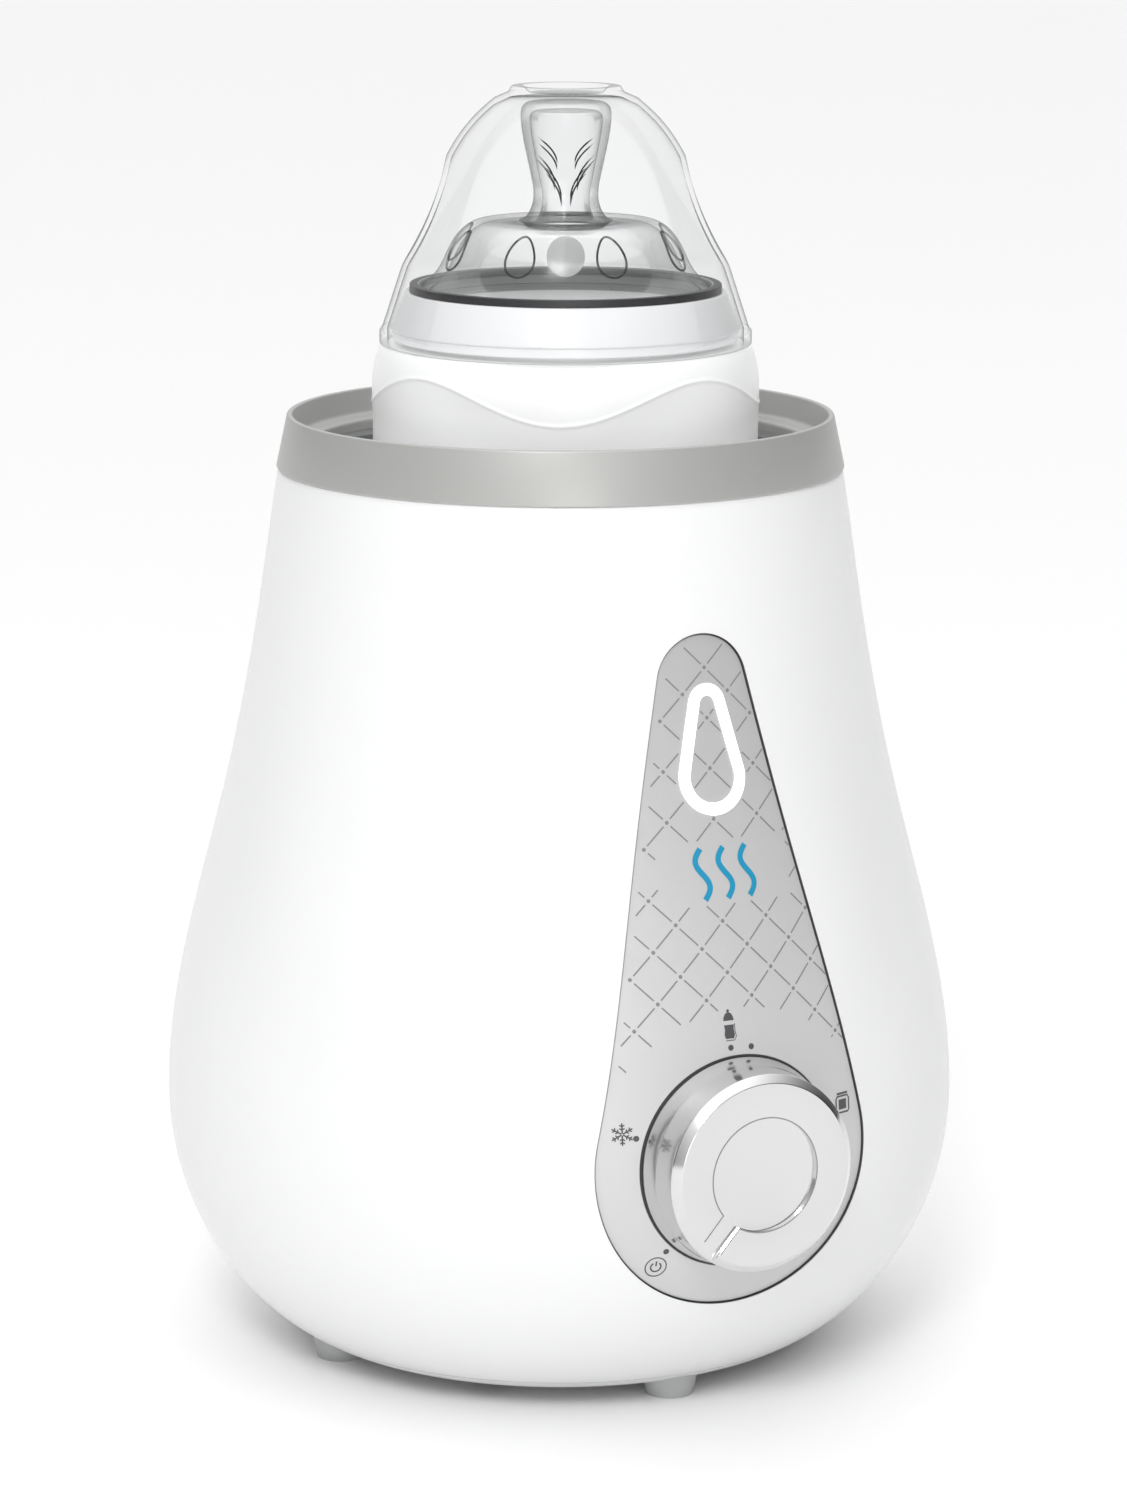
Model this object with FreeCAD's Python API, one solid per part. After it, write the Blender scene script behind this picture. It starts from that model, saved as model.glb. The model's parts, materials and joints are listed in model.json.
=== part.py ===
"""Electric bottle warmer with a feeding bottle standing in its water well.

Millimetres. +Z is up and the object stands on the plane z = 0. The origin is the point of that plane
under the middle of the housing. The dial and its panel look along -Y, the cord gland along +Y.
Radii are measured from the housing's vertical axis, except for the bottle's pieces, which are drawn on
that axis and then moved to the bottle's own one.
"""
import FreeCAD
import Part

import math
import os

V = FreeCAD.Vector
UP = V(0, 0, 1)
BACK = V(0, 1, 0)
ALONG = V(1, 0, 0)

# Housing outline as (radius, height). The lower flank is a cubic Bezier curve from the flat underside to
# the belly, by its poles; the upper one goes through its points, to a slightly hollow shoulder.
LOWER_FLANK = [(43.5, 2.5), (50.0, 2.6), (70.35, 18.0), (70.35, 46.0)]
UPPER_FLANK = [(70.35, 46.0), (67.5, 70.0), (60.0, 100.0), (53.9, 130.0), (49.65, 158.0)]
SHOULDER_DIRECTION = (-0.16, 0.98)
INSET_STEPS = 8
HAIR = 1e-6
SHOULDER_Z = UPPER_FLANK[-1][1]
BASE_Z = LOWER_FLANK[0][1]
SHELL_WALL = 2.4
SEAM_R = 50.0
SEAM_GAP = 0.15
SEAM_TOP_Z = 12.0
LEDGE_THICK = 2.4
TOP_LEDGE_R = 49.0
LOW_LEDGE_LIFT = 5.5
LOW_LEDGE_INNER_R = 47.4
LOW_LEDGE_OUTER_R = 60.0
WALL_OVERLAP = 0.2

# Depths along Y that cuts run to: in front of everything, behind the front wall, and past the back.
FRONT_Y = -90.0
INNER_Y = -40.0
REAR_Y = 90.0

# Feet, on the two axes of the housing.
FOOT_PITCH_R = 43.5
FOOT_TOP_R = 5.2
FOOT_TIP_R = 4.2
FOOT_STEM_R = 2.2
FOOT_STEM_LOW = 1.0
FOOT_STEM_TOP = 7.0
FOOT_PAD_RISE = 2.5

# Rim ring, tank and seal at the mouth of the well.
RIM_LOW_R = 50.0
RIM_TOP_R = 48.05
RIM_TOP_Z = 167.2
RIM_LIP = 0.9
RIM_LIP_ROUND = 0.45
RIM_LEDGE_R = 43.7
RIM_LEDGE_Z = 162.2
RIM_LEDGE_ROUND = 0.9
RIM_SLOPE_FOOT = (46.1, 162.8)
RIM_SKIRT_GAP = 0.2
WELL_R = 43.0
WELL_FLOOR_Z = 45.2
TANK_WALL = 1.2
TANK_CORNER = 5.0
TANK_FLANGE_R = 46.8
SEAL_INNER_R = 44.4
SEAL_OUTER_R = 46.8
SEAL_THICK = 1.2

# Inner frame under the tank, heater and their screws.
FRAME_INNER_R = 34.0
FRAME_OUTER_R = 46.4
FRAME_RING_THICK = 4.0
FRAME_SLEEVE_Z = 56.0
FRAME_SLEEVE_GAP = 0.3
POST_PITCH_R = 39.5
POST_R = 4.2
SCREW_R = 1.5
SCREW_HEAD_R = 2.9
SCREW_HEAD_THICK = 1.6
SCREW_HEAD_GAP = 0.3
SCREW_HOLE_GAP = 0.2
SCREW_LENGTH = 14.0
SCREW_SLOT_DEPTH = 0.9
SCREW_SLOT = (1.8, 0.3)
HEATER_R = 31.0
HEATER_THICK = 5.0
PTC_SIZE = (34.0, 24.0, 3.0)
CLAMP_R = 22.0
CLAMP_THICK = 1.5
CLAMP_SCREW_PITCH_R = 18.8
CLAMP_SCREW_BITE = 3.4
PTC_NOTCH_GAP = 0.8
FUSE_R = 2.2
FUSE_LENGTH = 12.0
FUSE_Y = 25.5
FUSE_LEAD_R = 0.5
FUSE_LEAD_LENGTH = 22.0

# Panel, light pipe and dial, all on the front of the housing.
PANEL_TOP_Z = 127.7
PANEL_TOP_R = 8.3
DIAL_Z = 48.3
PANEL_LOW_R = 25.6
PANEL_RECESS = 0.5
PANEL_SUNK = 1.5
PANEL_GAP = 0.3
LOOP_TOP_Z = 124.4
LOOP_TOP_R = 3.5
LOOP_LOW_Z = 112.3
LOOP_LOW_R = 6.3
LOOP_BAND = 2.1
LOOP_RECESS = 0.1
LOOP_SUNK = 1.2
LOOP_LEG_R = 0.9
LEG_HOLE_GAP = 0.2
BOARD_Y = -48.8
BOARD_THICK = 1.6
BOARD_HALF_WIDTH = 7.0
BOARD_MARGIN = 4.0
BOARD_POST_R = 1.8
BOARD_POST_SHARE = 0.3
BOARD_POST_FRONT_Y = -70.0
BOARD_SCREW_R = 0.8
BOARD_SCREW_HEAD_R = 1.7
BOARD_SCREW_HEAD_THICK = 1.0
LAMP_R = 1.6
LAMP_LENGTH = 1.7
LAMP_GAP = 0.3
DIAL_FACE_Y = -77.5
DIAL_BACK_Y = -63.6
DIAL_FACE_R = 16.9
DIAL_BACK_R = 17.4
DIAL_CHAMFER = 1.2
DIAL_WALL = 1.7
DIAL_HOLE_R = 18.4
DIAL_HOLE_STEP = 0.2
DIAL_HOLE_BACK_Y = -50.0
POINTER_RECESS_R = 9.8
POINTER_CHANNEL = 3.8
POINTER_DEPTH = 1.0
POINTER_OFF_DEG = 221.0
WELL_CUP_FLOOR_Y = -62.5
WELL_CUP_WALL = 2.0
SHAFT_R = 3.0
SHAFT_CLEARANCE = 0.05
SHAFT_PRESS_GAP = 0.02
SHAFT_FLAT = 0.8
SHAFT_DEPTH_IN_CASE = 5.5
SHAFT_END_GAP = 0.3
HUB_R = 5.6
HUB_GAP = 0.4
BUSH_R = 4.8
BUSH_LENGTH = 6.0
DIAL_NUT_SIZE = (13.0, 2.6)
THERMOSTAT_SIZE = (24.0, 11.5, 30.0)
THERMOSTAT_ROUND = 1.5
THERMOSTAT_BORE = (3.5, 6.0)
TAB_SIZE = (6.0, 0.8, 7.0)
TAB_OFFSETS = (-7.0, 7.0)

# Cord gland at the back, with nothing in its bore.
GLAND_Z = 24.0
GLAND_BORE_R = 3.3
GLAND_SEAT_Y = 64.5
GLAND_NOSE_Y = 76.8
GLAND_FLANGE_R = 9.0
GLAND_FLANGE_THICK = 2.0
GLAND_FLANGE_GAP = 0.3
GLAND_STEM_R = 6.0
GLAND_STEM_TAIL = 5.0
GLAND_INNER_Y = 56.0
GLAND_NOSE_BACK_R = 5.9
GLAND_NOSE_TIP_R = 4.7
GLAND_GROOVES = (69.0, 71.2, 73.4)
GLAND_GROOVE_WIDTH = 0.9
GLAND_GROOVE_FLOOR_R = 4.4
GLAND_NUT_SIZE = (17.0, 4.0)
BOSS_R = 11.4
BOSS_LENGTH = 8.5

# Terminal block on the base, and the wires' size and bends.
BLOCK_HALF_WIDTH = 14.0
BLOCK_FRONT_Y = 24.0
BLOCK_BACK_Y = 36.0
BLOCK_HEIGHT = 11.0
BLOCK_PITCH = 9.0
BLOCK_SCREW_WELL = (2.2, 7.0)
BLOCK_WIRE_HOLE_R = 1.5
BLOCK_WIRE_RISE = 4.5
WIRE_R = 1.1
WIRE_BEND = 4.0
RETURN_BEND = 3.0

# Feeding bottle: its axis stands a little to one side in the loose well.
BOTTLE_AXIS = V(0.76, -0.38, 0)
BOTTLE_R = 34.0
BOTTLE_WALL = 1.6
BOTTLE_CORNER_Z = 50.5
BOTTLE_STAND_R = 29.5
BOTTLE_CORNER_MIDDLE = (32.7, 46.8)
BOTTLE_DIMPLE_R = 27.5
BOTTLE_DIMPLE_TOP_R = 25.5
BOTTLE_DIMPLE_DEPTH = 2.0
BOTTLE_INNER_CORNER = 4.0
BOTTLE_INNER_SHOULDER = (175.0, 177.4)
SHOULDER = [(34.0, 171.0), (33.95, 173.5), (33.2, 177.6), (32.4, 179.4)]
NECK_R = 27.6
NECK_TOP_Z = 186.0
COLLAR_TOP_Z = 188.6
COLLAR_TOP_R = 28.0
COLLAR_LOW_Z = 182.2
COLLAR_LOW_R = 30.9
COLLAR_SKIRT_R = 30.4
COLLAR_SKIRT_Z = 180.3
COLLAR_BORE_R = 28.6
COLLAR_HOLE_R = 25.6
COLLAR_STEP = 0.3
COLLAR_EDGE = (0.25, 0.5)
COLLAR_SEAT_GAP = 0.1
GASKET_INSET = 0.6
GASKET_THICK = 1.3
TEAT_FLANGE_R = 27.2
TEAT_FLANGE_THICK = 1.0
TEAT_FLANGE_HOLE_R = 23.7
TEAT_DOME = [(25.2, 189.4), (22.2, 192.6), (20.2, 196.6), (17.6, 199.8), (15.2, 200.9)]
TEAT_LINING_DROP = (1.5, 0.6)
NIPPLE = [(8.2, 200.9), (5.8, 204.0), (6.0, 208.2), (7.1, 213.3), (7.9, 218.6)]
NIPPLE_TIP = [(7.9, 218.6), (7.5, 220.6), (6.2, 221.5)]
NIPPLE_BORE = [(7.2, 199.5), (4.2, 204.0), (4.4, 208.2), (5.5, 213.3), (6.2, 217.8)]
NIPPLE_BORE_TIP = [(6.2, 217.8), (5.8, 219.2), (4.6, 219.9)]
CAP_WALL = 0.9
CAP_FLANGE_R = 32.6
CAP_FLANGE_Z = 179.5
CAP_FLANGE_TOP_Z = 181.9
CAP_FLANGE_STEP = 0.2
CAP_DOME = [
    (32.1, 182.4), (30.2, 188.2), (27.9, 195.0), (24.8, 203.0), (21.4, 211.0), (17.3, 217.5), (12.5, 222.1),
]
CAP_DOME_START = (-0.32, 0.95)
CAP_DOME_END = (-0.78, 0.62)
CAP_BEAD = [(9.9, 223.3), (9.2, 224.2), (8.0, 224.2)]
CAP_CEILING_R = 9.2
CAP_DISH_R = 6.2
CAP_DISH_Z = 223.0
GRIP_R = 50.0
GRIP_MIDDLE = (23.65, 202.4)
GRIP_LEAN_DEG = 22.0
GRIP_TURN_DEG = -26.6
GRIP_HALF_LENGTH = 30.0

PARTS = {}


def keep(name, shape):
    """Register one finished piece."""
    PARTS[name] = shape


def revolved(edges):
    """Solid of revolution about the housing's axis of a closed chain of edges in the XZ plane."""
    face = Part.Face(Part.Wire(Part.__sortEdges__(edges)))
    return face.revolve(V(0, 0, 0), UP, 360)


def profile_edges(points):
    """Straight edges through (radius, height) points."""
    return [Part.makeLine(V(a[0], 0, a[1]), V(b[0], 0, b[1])) for a, b in zip(points, points[1:])]


def turned(points):
    """Solid of revolution of a closed polygon of (radius, height) points."""
    return revolved(profile_edges(points + points[:1]))


def ring(inner, outer, low, high):
    """Plain upright ring."""
    return turned([(inner, low), (outer, low), (outer, high), (inner, high)])


def disc(radius, low, high, x=0.0, y=0.0):
    """Upright cylinder."""
    return Part.makeCylinder(radius, high - low, V(x, y, low), UP)


def rod(radius, front, back, height=DIAL_Z, x=0.0):
    """Cylinder along Y between two depths, at a given height."""
    return Part.makeCylinder(radius, back - front, V(x, front, height), BACK)


def box(x, y, z):
    """Box between (low, high) pairs."""
    return Part.makeBox(x[1] - x[0], y[1] - y[0], z[1] - z[0], V(x[0], y[0], z[0]))


def fused(shapes):
    """One solid of several shapes."""
    return shapes[0].fuse(shapes[1:]).removeSplitter()


def ring_places(radius, count, first_deg):
    """Evenly spaced points on a circle."""
    step = 360.0 / count
    angles = [math.radians(first_deg + step * k) for k in range(count)]
    return [(radius * math.cos(a), radius * math.sin(a)) for a in angles]


def spline(points, start, end):
    """Smooth curve through (radius, height) points with given end directions."""
    curve = Part.BSplineCurve()
    ends = {"InitialTangent": V(start[0], 0, start[1]), "FinalTangent": V(end[0], 0, end[1])}
    curve.interpolate(Points=[V(r, 0, z) for r, z in points], **ends)
    return curve


def inset_curve(curve, inset):
    """Curve parallel to another, moved to its left, which is inwards for one that climbs."""
    if inset == 0:
        return curve
    first, last = curve.FirstParameter, curve.LastParameter
    points = []
    for step in range(INSET_STEPS + 1):
        place_on = first + (last - first) * step / INSET_STEPS
        point = curve.value(place_on)
        along = curve.tangent(place_on)[0]
        points.append((point.x - inset * along.z, point.z + inset * along.x))
    start = curve.tangent(first)[0]
    end = curve.tangent(last)[0]
    return spline(points, (start.x, start.z), (end.x, end.z))


def flank_curves(inset):
    """Lower and upper flank, moved inwards by inset, or outwards where it is negative."""
    lower = Part.BezierCurve()
    lower.setPoles([V(r, 0, z) for r, z in LOWER_FLANK])
    upper = spline(UPPER_FLANK, (0, 1), SHOULDER_DIRECTION)
    return inset_curve(lower, inset), inset_curve(upper, inset)


def body_volume(inset=0.0):
    """Everything inside the housing's outline moved inwards by inset."""
    lower, upper = flank_curves(inset)
    bottom = lower.StartPoint
    top = upper.EndPoint
    top_z = max(top.z, SHOULDER_Z)
    edges = [lower.toShape(), upper.toShape()]
    edges += profile_edges([(0, top_z), (0, bottom.z), (bottom.x, bottom.z)])
    edges += profile_edges([(top.x, top_z), (0, top_z)])
    if top_z - top.z > HAIR:
        edges += profile_edges([(top.x, top.z), (top.x, top_z)])
    return revolved(edges)


def teardrop(top_z, top_r, low_z, low_r, front=FRONT_Y, back=INNER_Y):
    """Prism along Y of two circles, one above the other, and their common tangents."""
    lean = math.asin((low_r - top_r) / (top_z - low_z))
    side, rise = math.cos(lean), math.sin(lean)
    top = [V(s * top_r * side, front, top_z + top_r * rise) for s in (-1, 1)]
    low = [V(s * low_r * side, front, low_z + low_r * rise) for s in (-1, 1)]
    edges = [
        Part.Arc(top[0], V(0, front, top_z + top_r), top[1]).toShape(),
        Part.makeLine(top[1], low[1]),
        Part.Arc(low[1], V(0, front, low_z - low_r), low[0]).toShape(),
        Part.makeLine(low[0], top[0]),
    ]
    return Part.Face(Part.Wire(edges)).extrude(V(0, back - front, 0))


def hexagon(across_flats, front, back, height):
    """Hexagonal prism along Y."""
    corner = across_flats / math.sqrt(3)
    turns = [math.radians(60 * k) for k in range(7)]
    places = [(corner * math.cos(a), corner * math.sin(a)) for a in turns]
    wire = Part.makePolygon([V(x, front, height + z) for x, z in places])
    return Part.Face(wire).extrude(V(0, back - front, 0))


def routed_wire(points, radius, bend):
    """Round wire along straight runs joined by tangent arcs."""
    corners = [V(*p) for p in points]
    edges = []
    start = corners[0]
    for before, corner, after in zip(corners, corners[1:], corners[2:]):
        come = (corner - before).normalize()
        go = (after - corner).normalize()
        turn = come.getAngle(go)
        reach = bend * math.tan(turn / 2)
        enter = corner - come * reach
        leave = corner + go * reach
        inward = (go - come).normalize()
        middle = corner + inward * (bend / math.cos(turn / 2) - bend)
        edges.append(Part.makeLine(start, enter))
        edges.append(Part.Arc(enter, middle, leave).toShape())
        start = leave
    edges.append(Part.makeLine(start, corners[-1]))
    path = Part.Wire(edges)
    section = Part.Wire(Part.makeCircle(radius, corners[0], corners[1] - corners[0]))
    return path.makePipeShell([section], True, False)


def make_shell():
    """White outer shell with its ledges, panel pocket, dial hole, board posts and gland seat."""
    skin = body_volume().cut(body_volume(SHELL_WALL))
    inside = body_volume(SHELL_WALL - WALL_OVERLAP)
    shell = skin.cut(disc(SEAM_R, 0, SEAM_TOP_Z))
    top_ledge = ring(SEAL_INNER_R, TOP_LEDGE_R, SHOULDER_Z - LEDGE_THICK, SHOULDER_Z).common(inside)
    low_z = BASE_Z + LOW_LEDGE_LIFT
    low_ledge = ring(LOW_LEDGE_INNER_R, LOW_LEDGE_OUTER_R, low_z, low_z + LEDGE_THICK).common(inside)
    posts = [rod(BOARD_POST_R, BOARD_POST_FRONT_Y, BOARD_Y, z).common(inside) for z in board_post_heights()]
    boss = rod(BOSS_R, GLAND_SEAT_Y - BOSS_LENGTH, GLAND_SEAT_Y, GLAND_Z)
    shell = fused([shell, top_ledge, low_ledge, boss] + posts)
    pocket = teardrop(PANEL_TOP_Z, PANEL_TOP_R + PANEL_GAP, DIAL_Z, PANEL_LOW_R + PANEL_GAP)
    shell = shell.cut(pocket.cut(body_volume(PANEL_SUNK)))
    shell = shell.cut(rod(DIAL_HOLE_R + DIAL_HOLE_STEP, FRONT_Y, DIAL_HOLE_BACK_Y))
    for z in loop_leg_heights():
        shell = shell.cut(rod(LOOP_LEG_R + LEG_HOLE_GAP, FRONT_Y, INNER_Y, z))
    shell = shell.cut(rod(GLAND_STEM_R, 0.0, REAR_Y, GLAND_Z))
    return shell.cut(rod(GLAND_FLANGE_R + GLAND_FLANGE_GAP, GLAND_SEAT_Y, REAR_Y, GLAND_Z))


def loop_leg_heights():
    """Heights of the light pipe's two legs, in the middle of its band."""
    half_band = LOOP_BAND / 2
    return (LOOP_TOP_Z + LOOP_TOP_R - half_band, LOOP_LOW_Z - LOOP_LOW_R + half_band)


def board_post_heights():
    """Heights of the two posts that carry the indicator board."""
    high, low = loop_leg_heights()
    inset = BOARD_POST_SHARE * (high - low)
    return (low + inset, high - inset)


def make_base():
    """Base plate in the shell's opening, its feet and its screws."""
    skin = body_volume().cut(body_volume(SHELL_WALL))
    plate = skin.common(disc(SEAM_R - SEAM_GAP, 0, SEAM_TOP_Z))
    screw_places = ring_places(POST_PITCH_R, 4, 45)
    head_top = BASE_Z + SCREW_HEAD_THICK
    for x, y in screw_places:
        plate = plate.cut(disc(SCREW_HEAD_R + SCREW_HEAD_GAP, 0, head_top, x, y))
        plate = plate.cut(disc(SCREW_R + SCREW_HOLE_GAP, 0, SEAM_TOP_Z, x, y))
    names = ["foot_right", "foot_rear", "foot_left", "foot_front"]
    outside = body_volume()
    for name, (x, y) in zip(names, ring_places(FOOT_PITCH_R, 4, 0)):
        plate = plate.cut(disc(FOOT_STEM_R, 0, SEAM_TOP_Z, x, y))
        pad = Part.makeCone(FOOT_TIP_R, FOOT_TOP_R, BASE_Z + FOOT_PAD_RISE, V(x, y, 0), UP).cut(outside)
        keep(name, fused([pad, disc(FOOT_STEM_R, FOOT_STEM_LOW, FOOT_STEM_TOP, x, y)]))
    keep("base_plate", plate)
    screws = []
    for x, y in screw_places:
        head = disc(SCREW_HEAD_R, BASE_Z + SEAM_GAP, head_top, x, y)
        shank = disc(SCREW_R, head_top - WALL_OVERLAP, head_top + SCREW_LENGTH, x, y)
        screw = fused([head, shank])
        for half_x, half_y in (SCREW_SLOT, SCREW_SLOT[::-1]):
            slot = box((x - half_x, x + half_x), (y - half_y, y + half_y), (0, BASE_Z + SCREW_SLOT_DEPTH))
            screw = screw.cut(slot)
        screws.append(screw)
    keep("base_screws", Part.makeCompound(screws))


def make_mouth():
    """Rim ring, tank and the seal between them."""
    seal_low = SHOULDER_Z + TANK_WALL
    seal_high = seal_low + SEAL_THICK
    keep("tank_seal", ring(SEAL_INNER_R, SEAL_OUTER_R, seal_low, seal_high))
    lip_r = RIM_TOP_R - RIM_LIP
    lip_z = RIM_TOP_Z - RIM_LIP_ROUND
    ledge_low_z = RIM_LEDGE_Z - RIM_LEDGE_ROUND
    ledge_inner_r = RIM_LEDGE_R + RIM_LEDGE_ROUND
    quarter = RIM_LEDGE_ROUND * (1 - math.sqrt(0.5))
    lip_arc = Part.Arc(V(RIM_TOP_R, 0, lip_z), V(RIM_TOP_R - RIM_LIP / 2, 0, RIM_TOP_Z), V(lip_r, 0, lip_z))
    ledge_arc = Part.Arc(
        V(ledge_inner_r, 0, RIM_LEDGE_Z),
        V(RIM_LEDGE_R + quarter, 0, RIM_LEDGE_Z - quarter),
        V(RIM_LEDGE_R, 0, ledge_low_z),
    )
    edges = profile_edges([(RIM_LOW_R, SHOULDER_Z), (RIM_TOP_R, lip_z)]) + [lip_arc.toShape()]
    edges += profile_edges([(lip_r, lip_z), RIM_SLOPE_FOOT, (ledge_inner_r, RIM_LEDGE_Z)])
    edges.append(ledge_arc.toShape())
    skirt_r = SEAL_OUTER_R + RIM_SKIRT_GAP
    under = [(RIM_LEDGE_R, ledge_low_z), (RIM_LEDGE_R, seal_high), (skirt_r, seal_high)]
    edges += profile_edges(under + [(skirt_r, SHOULDER_Z), (RIM_LOW_R, SHOULDER_Z)])
    keep("rim_ring", revolved(edges))
    outer = disc(WELL_R + TANK_WALL, WELL_FLOOR_Z - TANK_WALL, SHOULDER_Z)
    outer = outer.makeFillet(TANK_CORNER + TANK_WALL, [outer_bottom_edge(outer)])
    hollow = disc(WELL_R, WELL_FLOOR_Z, RIM_TOP_Z)
    hollow = hollow.makeFillet(TANK_CORNER, [outer_bottom_edge(hollow)])
    flange = disc(TANK_FLANGE_R, SHOULDER_Z, SHOULDER_Z + TANK_WALL)
    keep("water_tank", fused([outer, flange]).cut(hollow))


def outer_bottom_edge(shape):
    """The lowest circular edge of an upright cylinder."""
    circles = [e for e in shape.Edges if e.Curve.TypeId == "Part::GeomCircle"]
    return min(circles, key=lambda e: e.BoundBox.ZMin)


def make_heater():
    """Inner frame, heating plate, its ceramic element, clamp, screws and thermal fuse."""
    floor_z = WELL_FLOOR_Z - TANK_WALL
    frame = ring(FRAME_INNER_R, FRAME_OUTER_R, floor_z - FRAME_RING_THICK, floor_z)
    sleeve_inner = WELL_R + TANK_WALL + FRAME_SLEEVE_GAP
    sleeve = ring(sleeve_inner, FRAME_OUTER_R, floor_z, FRAME_SLEEVE_Z)
    posts = []
    post_low = BASE_Z + SHELL_WALL
    for x, y in ring_places(POST_PITCH_R, 4, 45):
        posts.append(disc(POST_R, post_low, floor_z - FRAME_RING_THICK + WALL_OVERLAP, x, y))
    frame = fused([frame, sleeve] + posts)
    for x, y in ring_places(POST_PITCH_R, 4, 45):
        frame = frame.cut(disc(SCREW_R, 0, post_low + SCREW_LENGTH, x, y))
    keep("inner_frame", frame)
    plate_low = floor_z - HEATER_THICK
    ptc_low = plate_low - PTC_SIZE[2]
    clamp_low = ptc_low - CLAMP_THICK
    plate = disc(HEATER_R, plate_low, floor_z)
    clamp = disc(CLAMP_R, clamp_low, ptc_low)
    screws = []
    screw_top = plate_low + CLAMP_SCREW_BITE
    for x, y in ring_places(CLAMP_SCREW_PITCH_R, 3, 90):
        plate = plate.cut(disc(SCREW_R, plate_low, screw_top + SEAM_GAP, x, y))
        clamp = clamp.cut(disc(SCREW_R, clamp_low, ptc_low, x, y))
        head = disc(SCREW_HEAD_R, clamp_low - SCREW_HEAD_THICK, clamp_low, x, y)
        screws.append(fused([head, disc(SCREW_R, clamp_low, screw_top, x, y)]))
    keep("heater_plate", plate)
    keep("heater_clamp", clamp)
    keep("heater_screws", Part.makeCompound(screws))
    half_x, half_y = PTC_SIZE[0] / 2, PTC_SIZE[1] / 2
    block = box((-half_x, half_x), (-half_y, half_y), (ptc_low, plate_low))
    for x, y in ring_places(CLAMP_SCREW_PITCH_R, 3, 90):
        block = block.cut(disc(SCREW_R + PTC_NOTCH_GAP, ptc_low, plate_low, x, y))
    keep("ptc_heater", block)
    fuse_z = plate_low - FUSE_R
    bars = [(FUSE_R, FUSE_LENGTH), (FUSE_LEAD_R, FUSE_LEAD_LENGTH)]
    pieces = [Part.makeCylinder(r, size, V(-size / 2, FUSE_Y, fuse_z), ALONG) for r, size in bars]
    keep("thermal_fuse", fused(pieces))


def make_thermostat():
    """Adjustable thermostat behind the dial, its cup, bush, nut, terminals and shaft."""
    cup_back = WELL_CUP_FLOOR_Y + WELL_CUP_WALL
    cup_r = DIAL_HOLE_R + DIAL_HOLE_STEP
    cup = rod(cup_r + WELL_CUP_WALL, FRONT_Y, cup_back).common(body_volume(SHELL_WALL))
    cup = cup.cut(rod(cup_r, FRONT_Y, WELL_CUP_FLOOR_Y))
    keep("knob_well", cup.cut(rod(BUSH_R, FRONT_Y, INNER_Y)))
    width, depth, height = THERMOSTAT_SIZE
    rise = (DIAL_Z - height / 2, DIAL_Z + height / 2)
    case = box((-width / 2, width / 2), (cup_back, cup_back + depth), rise)
    case = case.makeFillet(THERMOSTAT_ROUND, case.Edges)
    bore_r, bore_depth = THERMOSTAT_BORE
    keep("thermostat_body", case.cut(rod(bore_r, FRONT_Y, cup_back + bore_depth)))
    bush_front = WELL_CUP_FLOOR_Y - BUSH_LENGTH
    bush = rod(BUSH_R, bush_front, cup_back)
    keep("thermostat_bushing", bush.cut(rod(SHAFT_R + SHAFT_CLEARANCE, FRONT_Y, INNER_Y)))
    nut = hexagon(DIAL_NUT_SIZE[0], WELL_CUP_FLOOR_Y - DIAL_NUT_SIZE[1], WELL_CUP_FLOOR_Y, DIAL_Z)
    keep("thermostat_nut", nut.cut(rod(BUSH_R, FRONT_Y, INNER_Y)))
    tab_y = cup_back + depth / 2
    low_z = DIAL_Z - height / 2
    half_x, half_y = TAB_SIZE[0] / 2, TAB_SIZE[1] / 2
    tabs = []
    for x in TAB_OFFSETS:
        rise = (low_z - TAB_SIZE[2], low_z)
        tabs.append(box((x - half_x, x + half_x), (tab_y - half_y, tab_y + half_y), rise))
    keep("thermostat_terminals", Part.makeCompound(tabs))
    shaft_front = DIAL_FACE_Y + POINTER_DEPTH + DIAL_WALL + SHAFT_END_GAP
    shaft = rod(SHAFT_R, shaft_front, cup_back + SHAFT_DEPTH_IN_CASE)
    flat_z = DIAL_Z + SHAFT_R - SHAFT_FLAT
    flat = box((-HUB_R, HUB_R), (shaft_front, bush_front - HUB_GAP), (flat_z, DIAL_Z + HUB_R))
    keep("thermostat_shaft", shaft.cut(flat))
    make_knob(flat, bush_front)


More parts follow.
